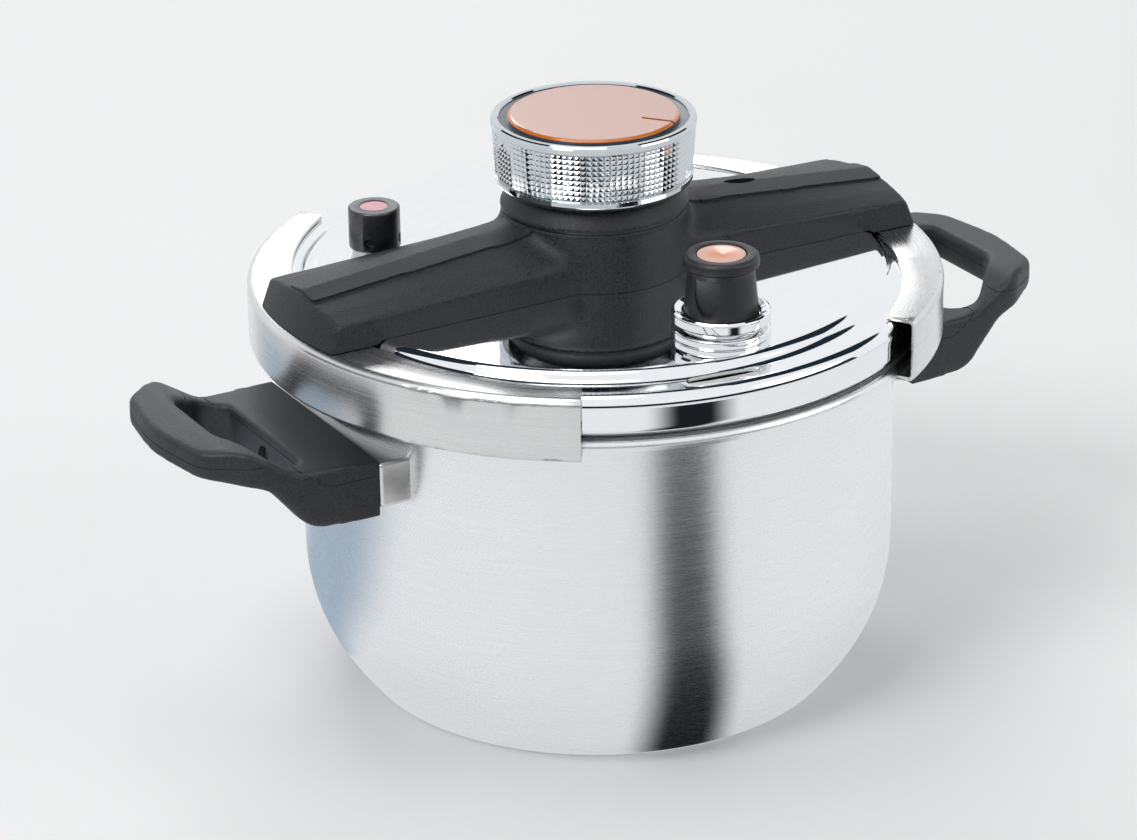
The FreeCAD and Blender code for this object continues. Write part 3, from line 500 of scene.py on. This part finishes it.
# %% From a grain to a finish
def shade_with(tree, shader, grain, dark, light, gloss, relief):
    """Tone, gloss and relief all follow the grain; gloss is a pair of roughnesses."""
    tone = add_node(tree, "ValToRGB", {"Fac": grain})
    tone.color_ramp.elements[0].position = 0.3
    tone.color_ramp.elements[0].color = (*dark, 1)
    tone.color_ramp.elements[1].position = 0.7
    tone.color_ramp.elements[1].color = (*light, 1)
    tree.links.new(tone.outputs["Color"], shader.inputs["Base Color"])
    rough = add_node(tree, "MapRange", {"Value": grain, "From Min": 0.3, "From Max": 0.7,
                                        "To Min": gloss[0], "To Max": gloss[1]})
    tree.links.new(rough.outputs["Result"], shader.inputs["Roughness"])
    bump = add_node(tree, "Bump", {"Height": grain, "Distance": relief * MM, "Strength": 1.0})
    tree.links.new(bump.outputs["Normal"], shader.inputs["Normal"])


def metal(name, dark, light, gloss, relief, grain_scale, rings=True, stretch=(1, 1, 1), spin=0.0,
          centre=(0, 0, 0)):
    material, tree, shader = new_finish(name)
    grain = (ring_grain(tree, grain_scale, centre=centre) if rings
             else even_grain(tree, grain_scale, stretch=stretch))
    shade_with(tree, shader, grain, dark, light, gloss, relief)
    shader.inputs["Metallic"].default_value = 1.0
    if spin:
        shader.inputs["Anisotropic"].default_value = spin
        shader.inputs["Anisotropic Rotation"].default_value = 0.25
        lie = add_node(tree, "Tangent", direction_type="RADIAL", axis="Z")
        tree.links.new(lie.outputs["Tangent"], shader.inputs["Tangent"])
    return material


def moulded(name, dark, light, gloss, relief, grain_scale, detail=3.0):
    material, tree, shader = new_finish(name)
    grain = even_grain(tree, grain_scale, detail)
    shade_with(tree, shader, grain, dark, light, gloss, relief)
    return material, tree, shader


# %% [markdown]
# ### Steels
# The pot is satin: it was spun against fine abrasive, so its reflections smear up and down. The
# jaws are brushed more coarsely. The lid is polished, with only a trace of rings. Bought parts,
# such as nuts and screws, are plain machined steel.

# %% Steels and aluminium
satin_steel = metal("satin_steel", (0.80, 0.81, 0.83), (0.84, 0.85, 0.865), (0.25, 0.29), 0.0004,
                    1400.0, spin=0.65)
brushed_steel = metal("brushed_steel", (0.64, 0.64, 0.64), (0.72, 0.715, 0.71), (0.22, 0.30),
                      0.0015, 1900.0, spin=0.55)
polished_steel = metal("polished_steel", (0.84, 0.85, 0.865), (0.86, 0.87, 0.885), (0.035, 0.05),
                       0.00005, 700.0)
machined_steel = metal("machined_steel", (0.50, 0.51, 0.52), (0.66, 0.67, 0.68), (0.22, 0.34),
                       0.003, 1500.0, rings=False, stretch=(1, 1, 4))
bracket_steel = metal("bracket_steel", (0.66, 0.65, 0.64), (0.72, 0.71, 0.70), (0.28, 0.34),
                      0.0008, 260.0, rings=False, stretch=(1, 0.5, 9))
core_aluminium = metal("core_aluminium", (0.72, 0.73, 0.74), (0.82, 0.82, 0.83), (0.4, 0.5),
                       0.006, 1800.0)
bearing_bronze = metal("bearing_bronze", (0.45, 0.29, 0.12), (0.60, 0.41, 0.19), (0.3, 0.42),
                       0.004, 1500.0)

# %% [markdown]
# ### Plastics and rubber
# The beam is a black thermoset with a coarse spark-eroded texture that catches grey light. The
# handles have a finer grain with pale filler specks. The valve's cap is smoother still.

# %% Plastics
beam_plastic, tree, shader = moulded("beam_plastic", (0.002, 0.0022, 0.003), (0.024, 0.026, 0.033),
                                     (0.40, 0.60), 0.17, 1300.0, 2.0)
shader.inputs["Specular IOR Level"].default_value = 0.4
handle_plastic, tree, shader = moulded("handle_plastic", (0.005, 0.0055, 0.006),
                                       (0.030, 0.031, 0.036), (0.38, 0.56), 0.13, 1500.0, 2.0)
shader.inputs["Specular IOR Level"].default_value = 0.45
valve_plastic = moulded("valve_plastic", (0.004, 0.0045, 0.005), (0.016, 0.017, 0.019),
                        (0.36, 0.48), 0.06, 2000.0, 2.0)[0]
silicone, tree, shader = moulded("silicone", (0.50, 0.51, 0.50), (0.60, 0.61, 0.60),
                                 (0.45, 0.6), 0.02, 500.0)
shader.inputs["Subsurface Weight"].default_value = 0.15
shader.inputs["Subsurface Radius"].default_value = (0.002, 0.002, 0.002)
nylon = moulded("nylon", (0.62, 0.60, 0.54), (0.74, 0.72, 0.66), (0.35, 0.5), 0.02, 900.0)[0]

# %% [markdown]
# ### The knob's metals and enamels
# The ring is chromed. Inside it lies a dark grey dished collar, and on that a coppery enamelled
# disc whose edge shows the orange metal under the enamel. The edge is found by height: only the
# top face of the disc is enamel.

# %% Knob, valve discs and safety cap
chrome = metal("chrome", (0.55, 0.585, 0.61), (0.60, 0.635, 0.66), (0.04, 0.07), 0.0002, 900.0)
gunmetal = metal("gunmetal", (0.075, 0.078, 0.085), (0.115, 0.118, 0.125), (0.3, 0.38), 0.003,
                 1500.0)
dished_grey, tree, shader = moulded("dished_grey", (0.085, 0.095, 0.11), (0.12, 0.13, 0.15),
                                    (0.25, 0.32), 0.004, 700.0)
shader.inputs["Metallic"].default_value = 0.6


def enamel(name, face_dark, face_light, edge, top_z, edge_depth=0.9):
    """Glossy enamel above top_z, a rim of bare coloured metal, and the dark base under that."""
    material, tree, shader = new_finish(name)
    grain = even_grain(tree, 1500.0)
    shade_with(tree, shader, grain, face_dark, face_light, (0.12, 0.17), 0.0006)
    face = shader.inputs["Base Color"].links[0].from_socket
    place = add_node(tree, "TexCoord")
    split = add_node(tree, "SeparateXYZ", {"Vector": place.outputs["Object"]})
    for lower, upper, colour in ((0.0002, 0.00005, edge),
                                 (edge_depth * MM + 0.0001, edge_depth * MM, (0.05, 0.07, 0.10))):
        above = add_node(tree, "MapRange", {"Value": split.outputs["Z"],
                                            "From Min": top_z - lower, "From Max": top_z - upper})
        both = add_node(tree, "Mix", {"Factor": above.outputs["Result"]}, data_type="RGBA")
        both.inputs[6].default_value = (*colour, 1)
        tree.links.new(face, both.inputs[7])
        face = both.outputs[2]
    tree.links.new(face, shader.inputs["Base Color"])
    shader.inputs["Coat Weight"].default_value = 0.5
    shader.inputs["Coat Roughness"].default_value = 0.05
    return material


disc_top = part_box("knob_disc")[1].z
copper_enamel = enamel("copper_enamel", (0.51, 0.295, 0.23), (0.53, 0.31, 0.245),
                       (0.60, 0.15, 0.006), disc_top)
vent_enamel = enamel("vent_enamel", (0.60, 0.27, 0.18), (0.64, 0.31, 0.21), (0.62, 0.16, 0.01),
                     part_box("valve_disc")[1].z)
rose_enamel = enamel("rose_enamel", (0.52, 0.16, 0.19), (0.58, 0.20, 0.24), (0.40, 0.08, 0.10),
                     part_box("safety_disc")[1].z)
print("enamel begins 0.2 mm below the disc's top at", round(disc_top / MM, 2), "mm")

# %% [markdown]
# ## Dressing the CAD pieces
# Most small turned and pressed pieces are already right in the CAD model. They keep their shape
# and only get their finish. The nodes that are modelled again below get theirs with the new piece.

# %% Finishes for the CAD nodes
def dress(material, *names):
    for name in names:
        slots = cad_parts[name].data.materials
        slots.clear()
        slots.append(material)
    print(material.name, "on", len(names), "nodes")


dress(satin_steel, "base_cap")
dress(core_aluminium, "base_core")
dress(polished_steel, "valve_ring", "vent_base")
dress(machined_steel, "guide_rail", "guide_studs", "pivot_post", "cover_screws", "arm_right",
      "arm_left", "rivets_right", "rivets_left", "cam_pin_right", "cam_pin_left", "cam_disc",
      "drive_spindle", "thrust_washer", "post_nut", "vent_pipe", "vent_nut", "vent_filter",
      "valve_weight", "safety_base", "safety_nut", "safety_poppet",
      "float_housing", "float_nut", "float_pin", "handle_screws")
dress(bearing_bronze, "hub_bush")
dress(silicone, "gasket", "vent_seal", "safety_seal", "float_seal", "screw_seals")
dress(nylon, "glide_pads")
dress(dished_grey, "knob_core")
dress(copper_enamel, "knob_disc")
dress(vent_enamel, "valve_disc")
dress(rose_enamel, "safety_disc")

# %% [markdown]
# ## Pot and lid
# Both are drawn and pressed from one round of sheet steel, and every line on them runs round the
# axis. So the section of the sheet is drawn with its bends and spun in many fine steps. Polished
# metal is seen by its reflections, and they would show every flat facet.

# %% Spin the pot
SHEET = 1.2
WALL_R = 112.0
FLOOR_R = 92.55
BELLY_CORNER, BELLY_BEND = 24.21, 73.9
LATHE_STEPS = 180
pot_foot, pot_top = (corner.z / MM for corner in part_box("pot_body"))
flange_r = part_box("pot_body")[1].y / MM - 0.01
under = pot_top - SHEET
pot = turn_on_lathe("pot", bent_sheet([
    (0, pot_foot), (FLOOR_R, pot_foot), (WALL_R, BELLY_CORNER, BELLY_BEND),
    (WALL_R, pot_top - 7.6, 5), (WALL_R + 4, under, 3), (flange_r - SHEET, under, 1.4),
    (flange_r - SHEET, pot_top - 3.8)], SHEET), LATHE_STEPS)
smooth_shading(pot, 40)
fit_out(pot, "pot", ["pot_body"], satin_steel)

# %% Spin the lid
lid_low, lid_top = (corner.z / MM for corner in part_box("lid_shell"))
lid_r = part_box("lid_shell")[1].y / MM
shoulder = lid_top - 3.3
BEND = 4.5
lid = turn_on_lathe("lid", bent_sheet([
    (0, lid_top), (lid_r - 16.5, lid_top, BEND), (lid_r - 13.6, shoulder, BEND),
    (lid_r, shoulder, BEND), (lid_r, lid_low + 2.4, 3), (lid_r - 2.1, lid_low)], -SHEET),
    LATHE_STEPS)

# %% Cut the gasket's window and the holes for valves and screws
WINDOW_HEADING = math.radians(-97)
WINDOW_R = lid_r - 9.75
LONG, WIDE, ROUND = 14, 3.25, 3.2
outward = Vector((math.cos(WINDOW_HEADING), math.sin(WINDOW_HEADING)))
along = Vector((-outward.y, outward.x))
window = outline_of([(-LONG, -WIDE, ROUND), (LONG, -WIDE, ROUND), (LONG, WIDE, ROUND),
                     (-LONG, WIDE, ROUND)],
                    lambda a, b: (*(outward * (WINDOW_R + b) + along * a), shoulder - 4))
carve(lid, raise_face("window", window, (0, 0, 8)))
holes = [(*centre_of(node).xy, radius) for node, radius in
         (("vent_base", 6.6), ("safety_base", 6.1), ("float_housing", 5.1))]
holes += [(x, y, 2.2) for x in (-48, 48) for y in (-19, 19)]
for x, y, radius in holes:
    carve(lid, rod(radius, 20, (x, y, lid_top)))
print("cut one window and", len(holes), "holes")
smooth_shading(lid, 40)
fit_out(lid, "lid", ["lid_shell"], polished_steel)

# %% [markdown]
# ## The beam
# The black beam is one thick moulding: two tapering arms that grow out of a round hub with soft
# hollows where they meet. Bevels can't round such a meeting of a cylinder with sloping faces, so
# the beam starts as a few overlapping blocks. A voxel remesh melts them into one skin, and
# smoothing rounds every edge. Around the hub it is smoothed much longer, which fills the corners.
# Only a quarter is made, because the beam is the same on all four sides, and it is mirrored.

# %% Heights that the beam must keep to
jaw_top = max(v.co.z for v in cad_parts["jaw_right"].data.vertices if v.co.x > 0.118) / MM
hub_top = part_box("hub_collar")[0].z / MM
print("lid top, jaw top, hub top (mm):", lid_top, round(jaw_top, 2), round(hub_top, 2))

HUB_R = 35.0
END_R = 127.5
STEP = 0.8
VOXEL = 0.8


def beam_arm(name, wall=0.0):
    """One arm as a long bar with a ridge that sinks towards its end; wall draws it in."""
    near, far = 22.0, 130.0
    half, crease, side, top = 26.8 - wall, lid_top + 11.9 - 0.6 * wall, 11.2, hub_top - 2.4 - wall
    foot = lid_top - 6.0
    section = [(near, half, foot), (near, half, crease), (near, 19.0, (crease + top) / 2 + 0.3),
               (near, side, top), (near, 0, top + 1.5)]
    section += [(x, -y, z) for x, y, z in section[-2::-1]]
    arm = raise_face(name, section, (far - near, 0, 0))
    bpy.ops.object.mode_set(mode="EDIT")
    # At the far end each line of the section moves outwards and sinks by its own measure.
    for y, out, down in ((half, 1.6, 3.8), (19.0, 0.0, 6.8), (side, -1.8, 9.8)):
        for sign in (1, -1):
            shift(lambda p: p.x > far - 1 and abs(p.y - sign * y) < 0.1 and p.z > foot + 1,
                  (0, sign * out, -down))
    shift(lambda p: p.x > far - 1 and abs(p.y) < 0.1, (0, 0, -9.8))
    for sign in (1, -1):
        shift(lambda p: p.x > far - 1 and abs(p.y - sign * half) < 0.1 and p.z < foot + 1,
              (0, sign * 1.6, 0))
    pick(lambda p: near + 1 < p.x < far - 1, "EDGE")
    bpy.ops.mesh.subdivide(number_cuts=14)
    bpy.ops.object.mode_set(mode="OBJECT")
    low, high = lid_top - 8, lid_top + 32
    slope = 3.25 / 8.3
    end_r = END_R - wall
    trim = turn_on_lathe(name + "_trim", [(0, low), (end_r + 8 * slope, low),
                                          (end_r - 32 * slope, high), (0, high)], 160)
    carve(arm, trim, "INTERSECT")
    return arm


def hub_block(name, radius, top):
    return turn_on_lathe(name, [(0, lid_top - 6), (radius, lid_top - 6), (radius, top), (0, top)])


def keep_quarter(piece):
    """Stay in edit mode with only the part at X > 0 and Y < 0."""
    edit(piece)
    bpy.ops.mesh.select_all(action="SELECT")
    slice_by((0, 0, 0), (1, 0, 0), clear_inner=True)
    bpy.ops.mesh.select_all(action="SELECT")
    slice_by((0, 0, 0), (0, 1, 0), clear_outer=True)


# %% Melt the blocks together, make all quarters alike
beam = beam_arm("beam")
hub = hub_block("hub", HUB_R, hub_top)
work_on(hub)
beam.select_set(True)
bpy.context.view_layer.objects.active = beam
bpy.ops.object.join()
modify(beam, "REMESH", mode="VOXEL", voxel_size=VOXEL * MM)
keep_quarter(beam)
modify(beam, "MIRROR", use_axis=(True, True, False), merge_threshold=0.05 * MM)
modify(beam, "SMOOTH", factor=0.5, iterations=7)
soften_part(beam, lambda p: 29 < p.xy.length < 50 and p.z > lid_top + 3
            and not (p.z > hub_top - 2.5 and p.xy.length < HUB_R + 0.5), 160)
print("beam skin:", len(beam.data.polygons), "faces")

# %% [markdown]
# ### The raised band
# A band 0.8 mm high runs along the top of both arms and widens where it meets the hub. The skin
# is sliced along the band's edges and the faces between the slices are extruded straight up,
# so that the band follows the skin and its edge stays crisp. The extrusion also closes the band
# along the middle plane; those faces are deleted before the quarter is mirrored.

# %% Slice and raise the band
BAND_EDGES = [((127.0, -8.8), (38.0, -10.5)), ((38.0, -10.5), (31.0, -11.5))]


def on_band(x, y):
    """Whether a plan point of the quarter lies on the band."""
    for (x1, y1), (x2, y2) in BAND_EDGES:
        if x2 <= x < x1:
            return y > y1 + (y2 - y1) * (x - x1) / (x2 - x1)
    return False


keep_quarter(beam)
for (x1, y1), (x2, y2) in BAND_EDGES:
    pick(lambda p: x2 - 3 < p.x < x1 + 3 and p.z > lid_top + 8 and p.y > -24, "FACE")
    slice_by((x1, y1, 0), (y2 - y1, x1 - x2, 0))
pick(lambda p: on_band(p.x, p.y) and p.z > lid_top + 9.5 and p.xy.length < 121.8
     and not (p.z > hub_top - 1.2 and p.xy.length < HUB_R + 0.5), "FACE")
bpy.ops.mesh.extrude_region_move(TRANSFORM_OT_translate={"value": (0, 0, STEP * MM)})
pick(lambda p: p.y > -0.001, "FACE")
bpy.ops.mesh.delete(type="FACE")
bpy.ops.object.mode_set(mode="OBJECT")
modify(beam, "MIRROR", use_axis=(True, True, False), merge_threshold=0.05 * MM)

# %% Hollow it from below, open the holes
carve(beam, turn_on_lathe("under", [(0, 150), (140, 150), (140, jaw_top + 0.3),
                                    (109.5, jaw_top + 0.3), (107.9, lid_top + 0.1),
                                    (0, lid_top + 0.1)], 128))
WALL = 2.5
inside = beam_arm("inside", WALL)
carve(beam, half_turned(inside, "inside_left"))
carve(beam, inside)
carve(beam, hub_block("inside_hub", HUB_R - WALL, hub_top - WALL))
carve(beam, rod(3, 20, (64, 1.2, 180), stretch=7 / 3))
smooth_shading(beam, 35)
fit_out(beam, "lid", ["beam_cover"], beam_plastic)

# %% [markdown]
# ## The handles
# Each handle is moulded in one piece: a block against the steel bracket that rises and thins into
# a bow-shaped grip. The plan outline and the side outline are each drawn and extruded, and what
# they have in common is the handle. The slot is cut out, then the block is softened; the grip,
# which the fingers hold, is smoothed much more than the block.

# %% Plan, side and slot
root_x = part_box("handle_right")[0].x / MM
root_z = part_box("bracket_right")[0].z / MM
grip_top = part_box("handle_right")[1].z / MM + 0.4
lead = root_x - 5
plan = both_halves([(lead, 43.8, 1.5), (163.5, 41.6, 8), (179.2, 30.5, 12), (184.3, 0, 70)])
side = [(lead, root_z - 3, 1.5), (141.5, root_z - 3, 14), (157.5, grip_top - 15.6, 14),
        (174.0, grip_top - 11.6, 30), (190.0, grip_top - 10.6, 4), (190.0, grip_top - 1.0, 4),
        (165.0, grip_top, 16), (146.0, root_z + 19.5, 16), (lead, root_z + 18.4, 1.5)]
slot = both_halves([(139.5, 29.0, 4), (150.0, 35.0, 5), (166.5, 19.0, 9)])
handle = raise_face("handle", outline_of(plan, lambda a, b: (a, b, 80)), (0, 0, 80))
across = raise_face("across", outline_of(side, lambda a, b: (a, -60, b)), (0, 120, 0))
carve(handle, across, "INTERSECT")
carve(handle, raise_face("slot", outline_of(slot, lambda a, b: (a, b, 80)), (0, 0, 80)))
soften(handle, VOXEL, 7)

# %% The softer grip, and a flat face against the bracket
GRIP_START = 130.5
edit(handle)
bpy.ops.mesh.select_all(action="SELECT")
slice_by((root_x, 0, 0), (1, 0, 0), snap=0.1, use_fill=True, clear_inner=True)
soften_part(handle, lambda p: p.x > GRIP_START, 30)
print("handle:", len(handle.data.polygons), "faces, reach and top (mm):",
      [round(max(v.co[axis] for v in handle.data.vertices) / MM, 2) for axis in (0, 2)])

# %% [markdown]
# ### The mould's parting line
# The two halves of the mould leave a fine line round the side. It runs at mid height of the grip
# and steps down along the block. Two cuts 0.3 mm apart mark it, and the strip between them is
# pushed in a little.

# %% Parting line and screw pocket
PARTING = [(root_x - 1, root_z + 13.0), (134.0, root_z + 13.0), (154.0, grip_top - 6.2),
           (190.0, grip_top - 6.2)]
HALF_LINE = 0.15
LINE_DEPTH = 0.2
edit(handle)
for (x1, z1), (x2, z2) in zip(PARTING, PARTING[1:]):
    for lift in (-HALF_LINE, HALF_LINE):
        pick(lambda p: x1 - 0.5 < p.x < x2 + 0.5, "FACE")
        slice_by((x1, 0, z1 + lift), (z1 - z2, 0, x2 - x1))


def near_parting(p):
    """Whether a point lies between the two cuts."""
    for (x1, z1), (x2, z2) in zip(PARTING, PARTING[1:]):
        if x1 <= p.x < x2:
            height = z1 + (z2 - z1) * (p.x - x1) / (x2 - x1)
            return abs(p.z - height) < HALF_LINE and p.x > root_x + 0.5
    return False


pick(near_parting, "FACE")
bpy.ops.mesh.extrude_region_shrink_fatten(TRANSFORM_OT_shrink_fatten={"value": -LINE_DEPTH * MM})
bpy.ops.object.mode_set(mode="OBJECT")
SCREW_Z = root_z + 8.5
carve(handle, rod(5.2, 12, (140, 0, SCREW_Z), sides=40, lying=True))
carve(handle, rod(4.8, 60, (120, 0, SCREW_Z), sides=40, lying=True))
smooth_shading(handle, 50)
handle.name = "grip_right"
other = half_turned(handle, "grip_left")
fit_out(handle, "pot", ["handle_right"], handle_plastic)
fit_out(other, "pot", ["handle_left"], handle_plastic)

# %% [markdown]
# ## The brackets
# Under each handle sits a shallow pressed cup of sheet steel, welded to the pot. A block is
# hollowed and trimmed to the pot's wall, then its edges are rounded as a press leaves them.

# %% Press a cup
bracket_low, bracket_high = (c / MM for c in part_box("bracket_right"))


def cup_block(name, x0, x1, half, z0, z1):
    return raise_face(name, [(x0, -half, z0), (x1, -half, z0), (x1, half, z0), (x0, half, z0)],
                      (0, 0, z1 - z0))


CUP_HALF = 43.9
GAP = 0.02
bracket = cup_block("bracket", 90, root_x - GAP, CUP_HALF, bracket_low.z + GAP,
                    bracket_high.z - GAP)
modify(bracket, "BEVEL", width=1.6 * MM, segments=4)
carve(bracket, turn_on_lathe("pot_wall", [(0, 90), (WALL_R + 0.05, 90), (WALL_R + 0.05, 135),
                                          (0, 135)], LATHE_STEPS))
carve(bracket, cup_block("room", 80, root_x - SHEET, CUP_HALF - SHEET, bracket_low.z + SHEET,
                         bracket_high.z - SHEET))
carve(bracket, rod(2.8, 20, (115, 0, SCREW_Z), sides=32, lying=True))
smooth_shading(bracket, 35)
bracket.name = "cup_right"
other = half_turned(bracket, "cup_left")
fit_out(bracket, "pot", ["bracket_right"], bracket_steel)
fit_out(other, "pot", ["bracket_left"], bracket_steel)

# %% [markdown]
# ## The knurled knob
# The chromed ring is knurled between two plain bands. On the real ring a knurling wheel presses
# rows of small pyramids. Here the ring is turned with one step for each row and column, and a
# poke raises every facet of the knurled belt into a pyramid.

# %% Turn the ring and poke the belt
ring_low, ring_high = (corner.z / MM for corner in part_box("knob_ring"))
ROWS = 9
COLUMNS = 104
KNURL = 0.85
FOOT_R, TOP_R, BORE_R = 36.6, 38.2, 35.1
belt_low, belt_high = ring_low + 3.9, ring_high - 3.3
profile = [(BORE_R, ring_low + 0.6), (FOOT_R - 1.4, ring_low), (FOOT_R - 0.2, ring_low + 1.2),
           (FOOT_R + 0.15, ring_low + 1.8), (FOOT_R + 0.25, belt_low - 0.5),
           (FOOT_R - 0.7, belt_low - 0.3)]
for row in range(ROWS + 1):
    share = row / ROWS
    profile.append((FOOT_R - 0.7 + 1.1 * share, belt_low + share * (belt_high - belt_low)))
profile += [(TOP_R - 1.1, belt_high + 0.2), (TOP_R, belt_high + 0.5), (TOP_R, ring_high - 1.0),
            (TOP_R - 0.35, ring_high - 0.35), (TOP_R - 1.0, ring_high), (BORE_R + 0.5, ring_high),
            (BORE_R, ring_high - 0.5), (BORE_R, ring_low + 0.6)]
ring = turn_on_lathe("knob_chrome_ring", profile, COLUMNS)
edit(ring)
pick(lambda p: p.xy.length > FOOT_R - 1.0 and belt_low < p.z < belt_high, "FACE")
bpy.ops.mesh.poke(offset=KNURL * MM)
bpy.ops.object.mode_set(mode="OBJECT")
smooth_shading(ring, 22)
fit_out(ring, "knob", ["knob_ring"], chrome)

# %% [markdown]
# ## The weight's cap
# The cap is turned, with a waist under its head so that it can be gripped and lifted. Two flats
# shaped like shields are sunk into its sides for the fingers.

# %% Turn the cap, sink the shields
cap_low, cap_high = (corner.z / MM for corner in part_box("valve_cap"))
cap_x, cap_y = centre_of("valve_cap").xy
head = cap_high - 4.4
disc_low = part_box("valve_disc")[0].z / MM
cap = turn_on_lathe("cap", [(9.3, cap_low), (13.5, cap_low), (13.75, cap_low + 0.3),
                            (12.9, cap_low + 8), (12.15, head - 3), (11.95, head - 1.2),
                            (12.2, head - 0.6), (13.2, head), (13.7, head + 0.5),
                            (13.8, head + 1.2), (13.75, cap_high - 1.3), (13.4, cap_high - 0.6),
                            (12.7, cap_high - 0.1), (12.2, cap_high), (9.6, cap_high),
                            (9.15, cap_high - 0.25), (9.1, disc_low), (0, disc_low),
                            (0, cap_high - 5.6), (9.3, cap_high - 5.6), (9.3, cap_low)],
                    72, centre=(cap_x, cap_y))
SHIELD = [(-4.9, 16.2), (4.9, 16.2), (4.9, 9.0), (3.6, 5.6), (1.4, 3.4), (-1.4, 3.4), (-3.6, 5.6),
          (-4.9, 9.0)]
SHIELD_R = 10.9
for heading in (-146, 34):
    turn = math.radians(heading)
    out = Vector((math.cos(turn), math.sin(turn)))
    across = Vector((-out.y, out.x))
    foot = Vector((cap_x, cap_y)) + out * SHIELD_R
    outline = [(*(foot + across * u), cap_low + z) for u, z in SHIELD]
    carve(cap, raise_face("flat", outline, (out.x * 8, out.y * 8, 0)))
ease_edges(cap, 0.2, 40)
smooth_shading(cap, 30)
fit_out(cap, "valve_cap", ["valve_cap"], valve_plastic)

# %% [markdown]
# ## Sheet steel with eased edges
# Pressed, turned and moulded pieces never have a knife edge. The jaws, the collar and the safety
# valve's cap keep the CAD shape, but a copy gets its sharp edges eased with a small bevel, so that
# they catch a line of light.

# %% Eased copies
def eased(node, body, material, width, turned=0.0):
    """A copy of a CAD node, turned on its own upright axis, with its sharp edges bevelled."""
    clear_selection()
    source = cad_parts[node]
    piece = bpy.data.objects.new(node + "_eased", source.data.copy())
    bpy.context.scene.collection.objects.link(piece)
    low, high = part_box(node)
    middle = Matrix.Translation((low + high) / 2)
    piece.matrix_world = (middle @ Matrix.Rotation(math.radians(turned), 4, "Z")
                          @ middle.inverted() @ source.matrix_world)
    work_on(piece)
    bpy.ops.object.transform_apply(location=True, rotation=True, scale=True)
    bpy.ops.object.mode_set(mode="EDIT")
    close_up(piece)
    if width:
        ease_edges(piece, width, 35)
    smooth_shading(piece, 30)
    fit_out(piece, body, [node], material)
    return piece


eased("jaw_right", "jaw_right", brushed_steel, 0.45)
eased("jaw_left", "jaw_left", brushed_steel, 0.45)
eased("hub_collar", "lid", beam_plastic, 0.6)
eased("safety_cap", "lid", gunmetal, 0.5, turned=35.0)

# %% [markdown]
# ## The safety valve's spring
# The coil spring stands between the cap and the poppet, and shortens when the poppet lifts. Here
# the copy keeps the CAD shape and gets its finish and a mesh of its own.

# %% A copy of the spring
spring = eased("safety_spring", "lid", machined_steel, 0)
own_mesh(spring)
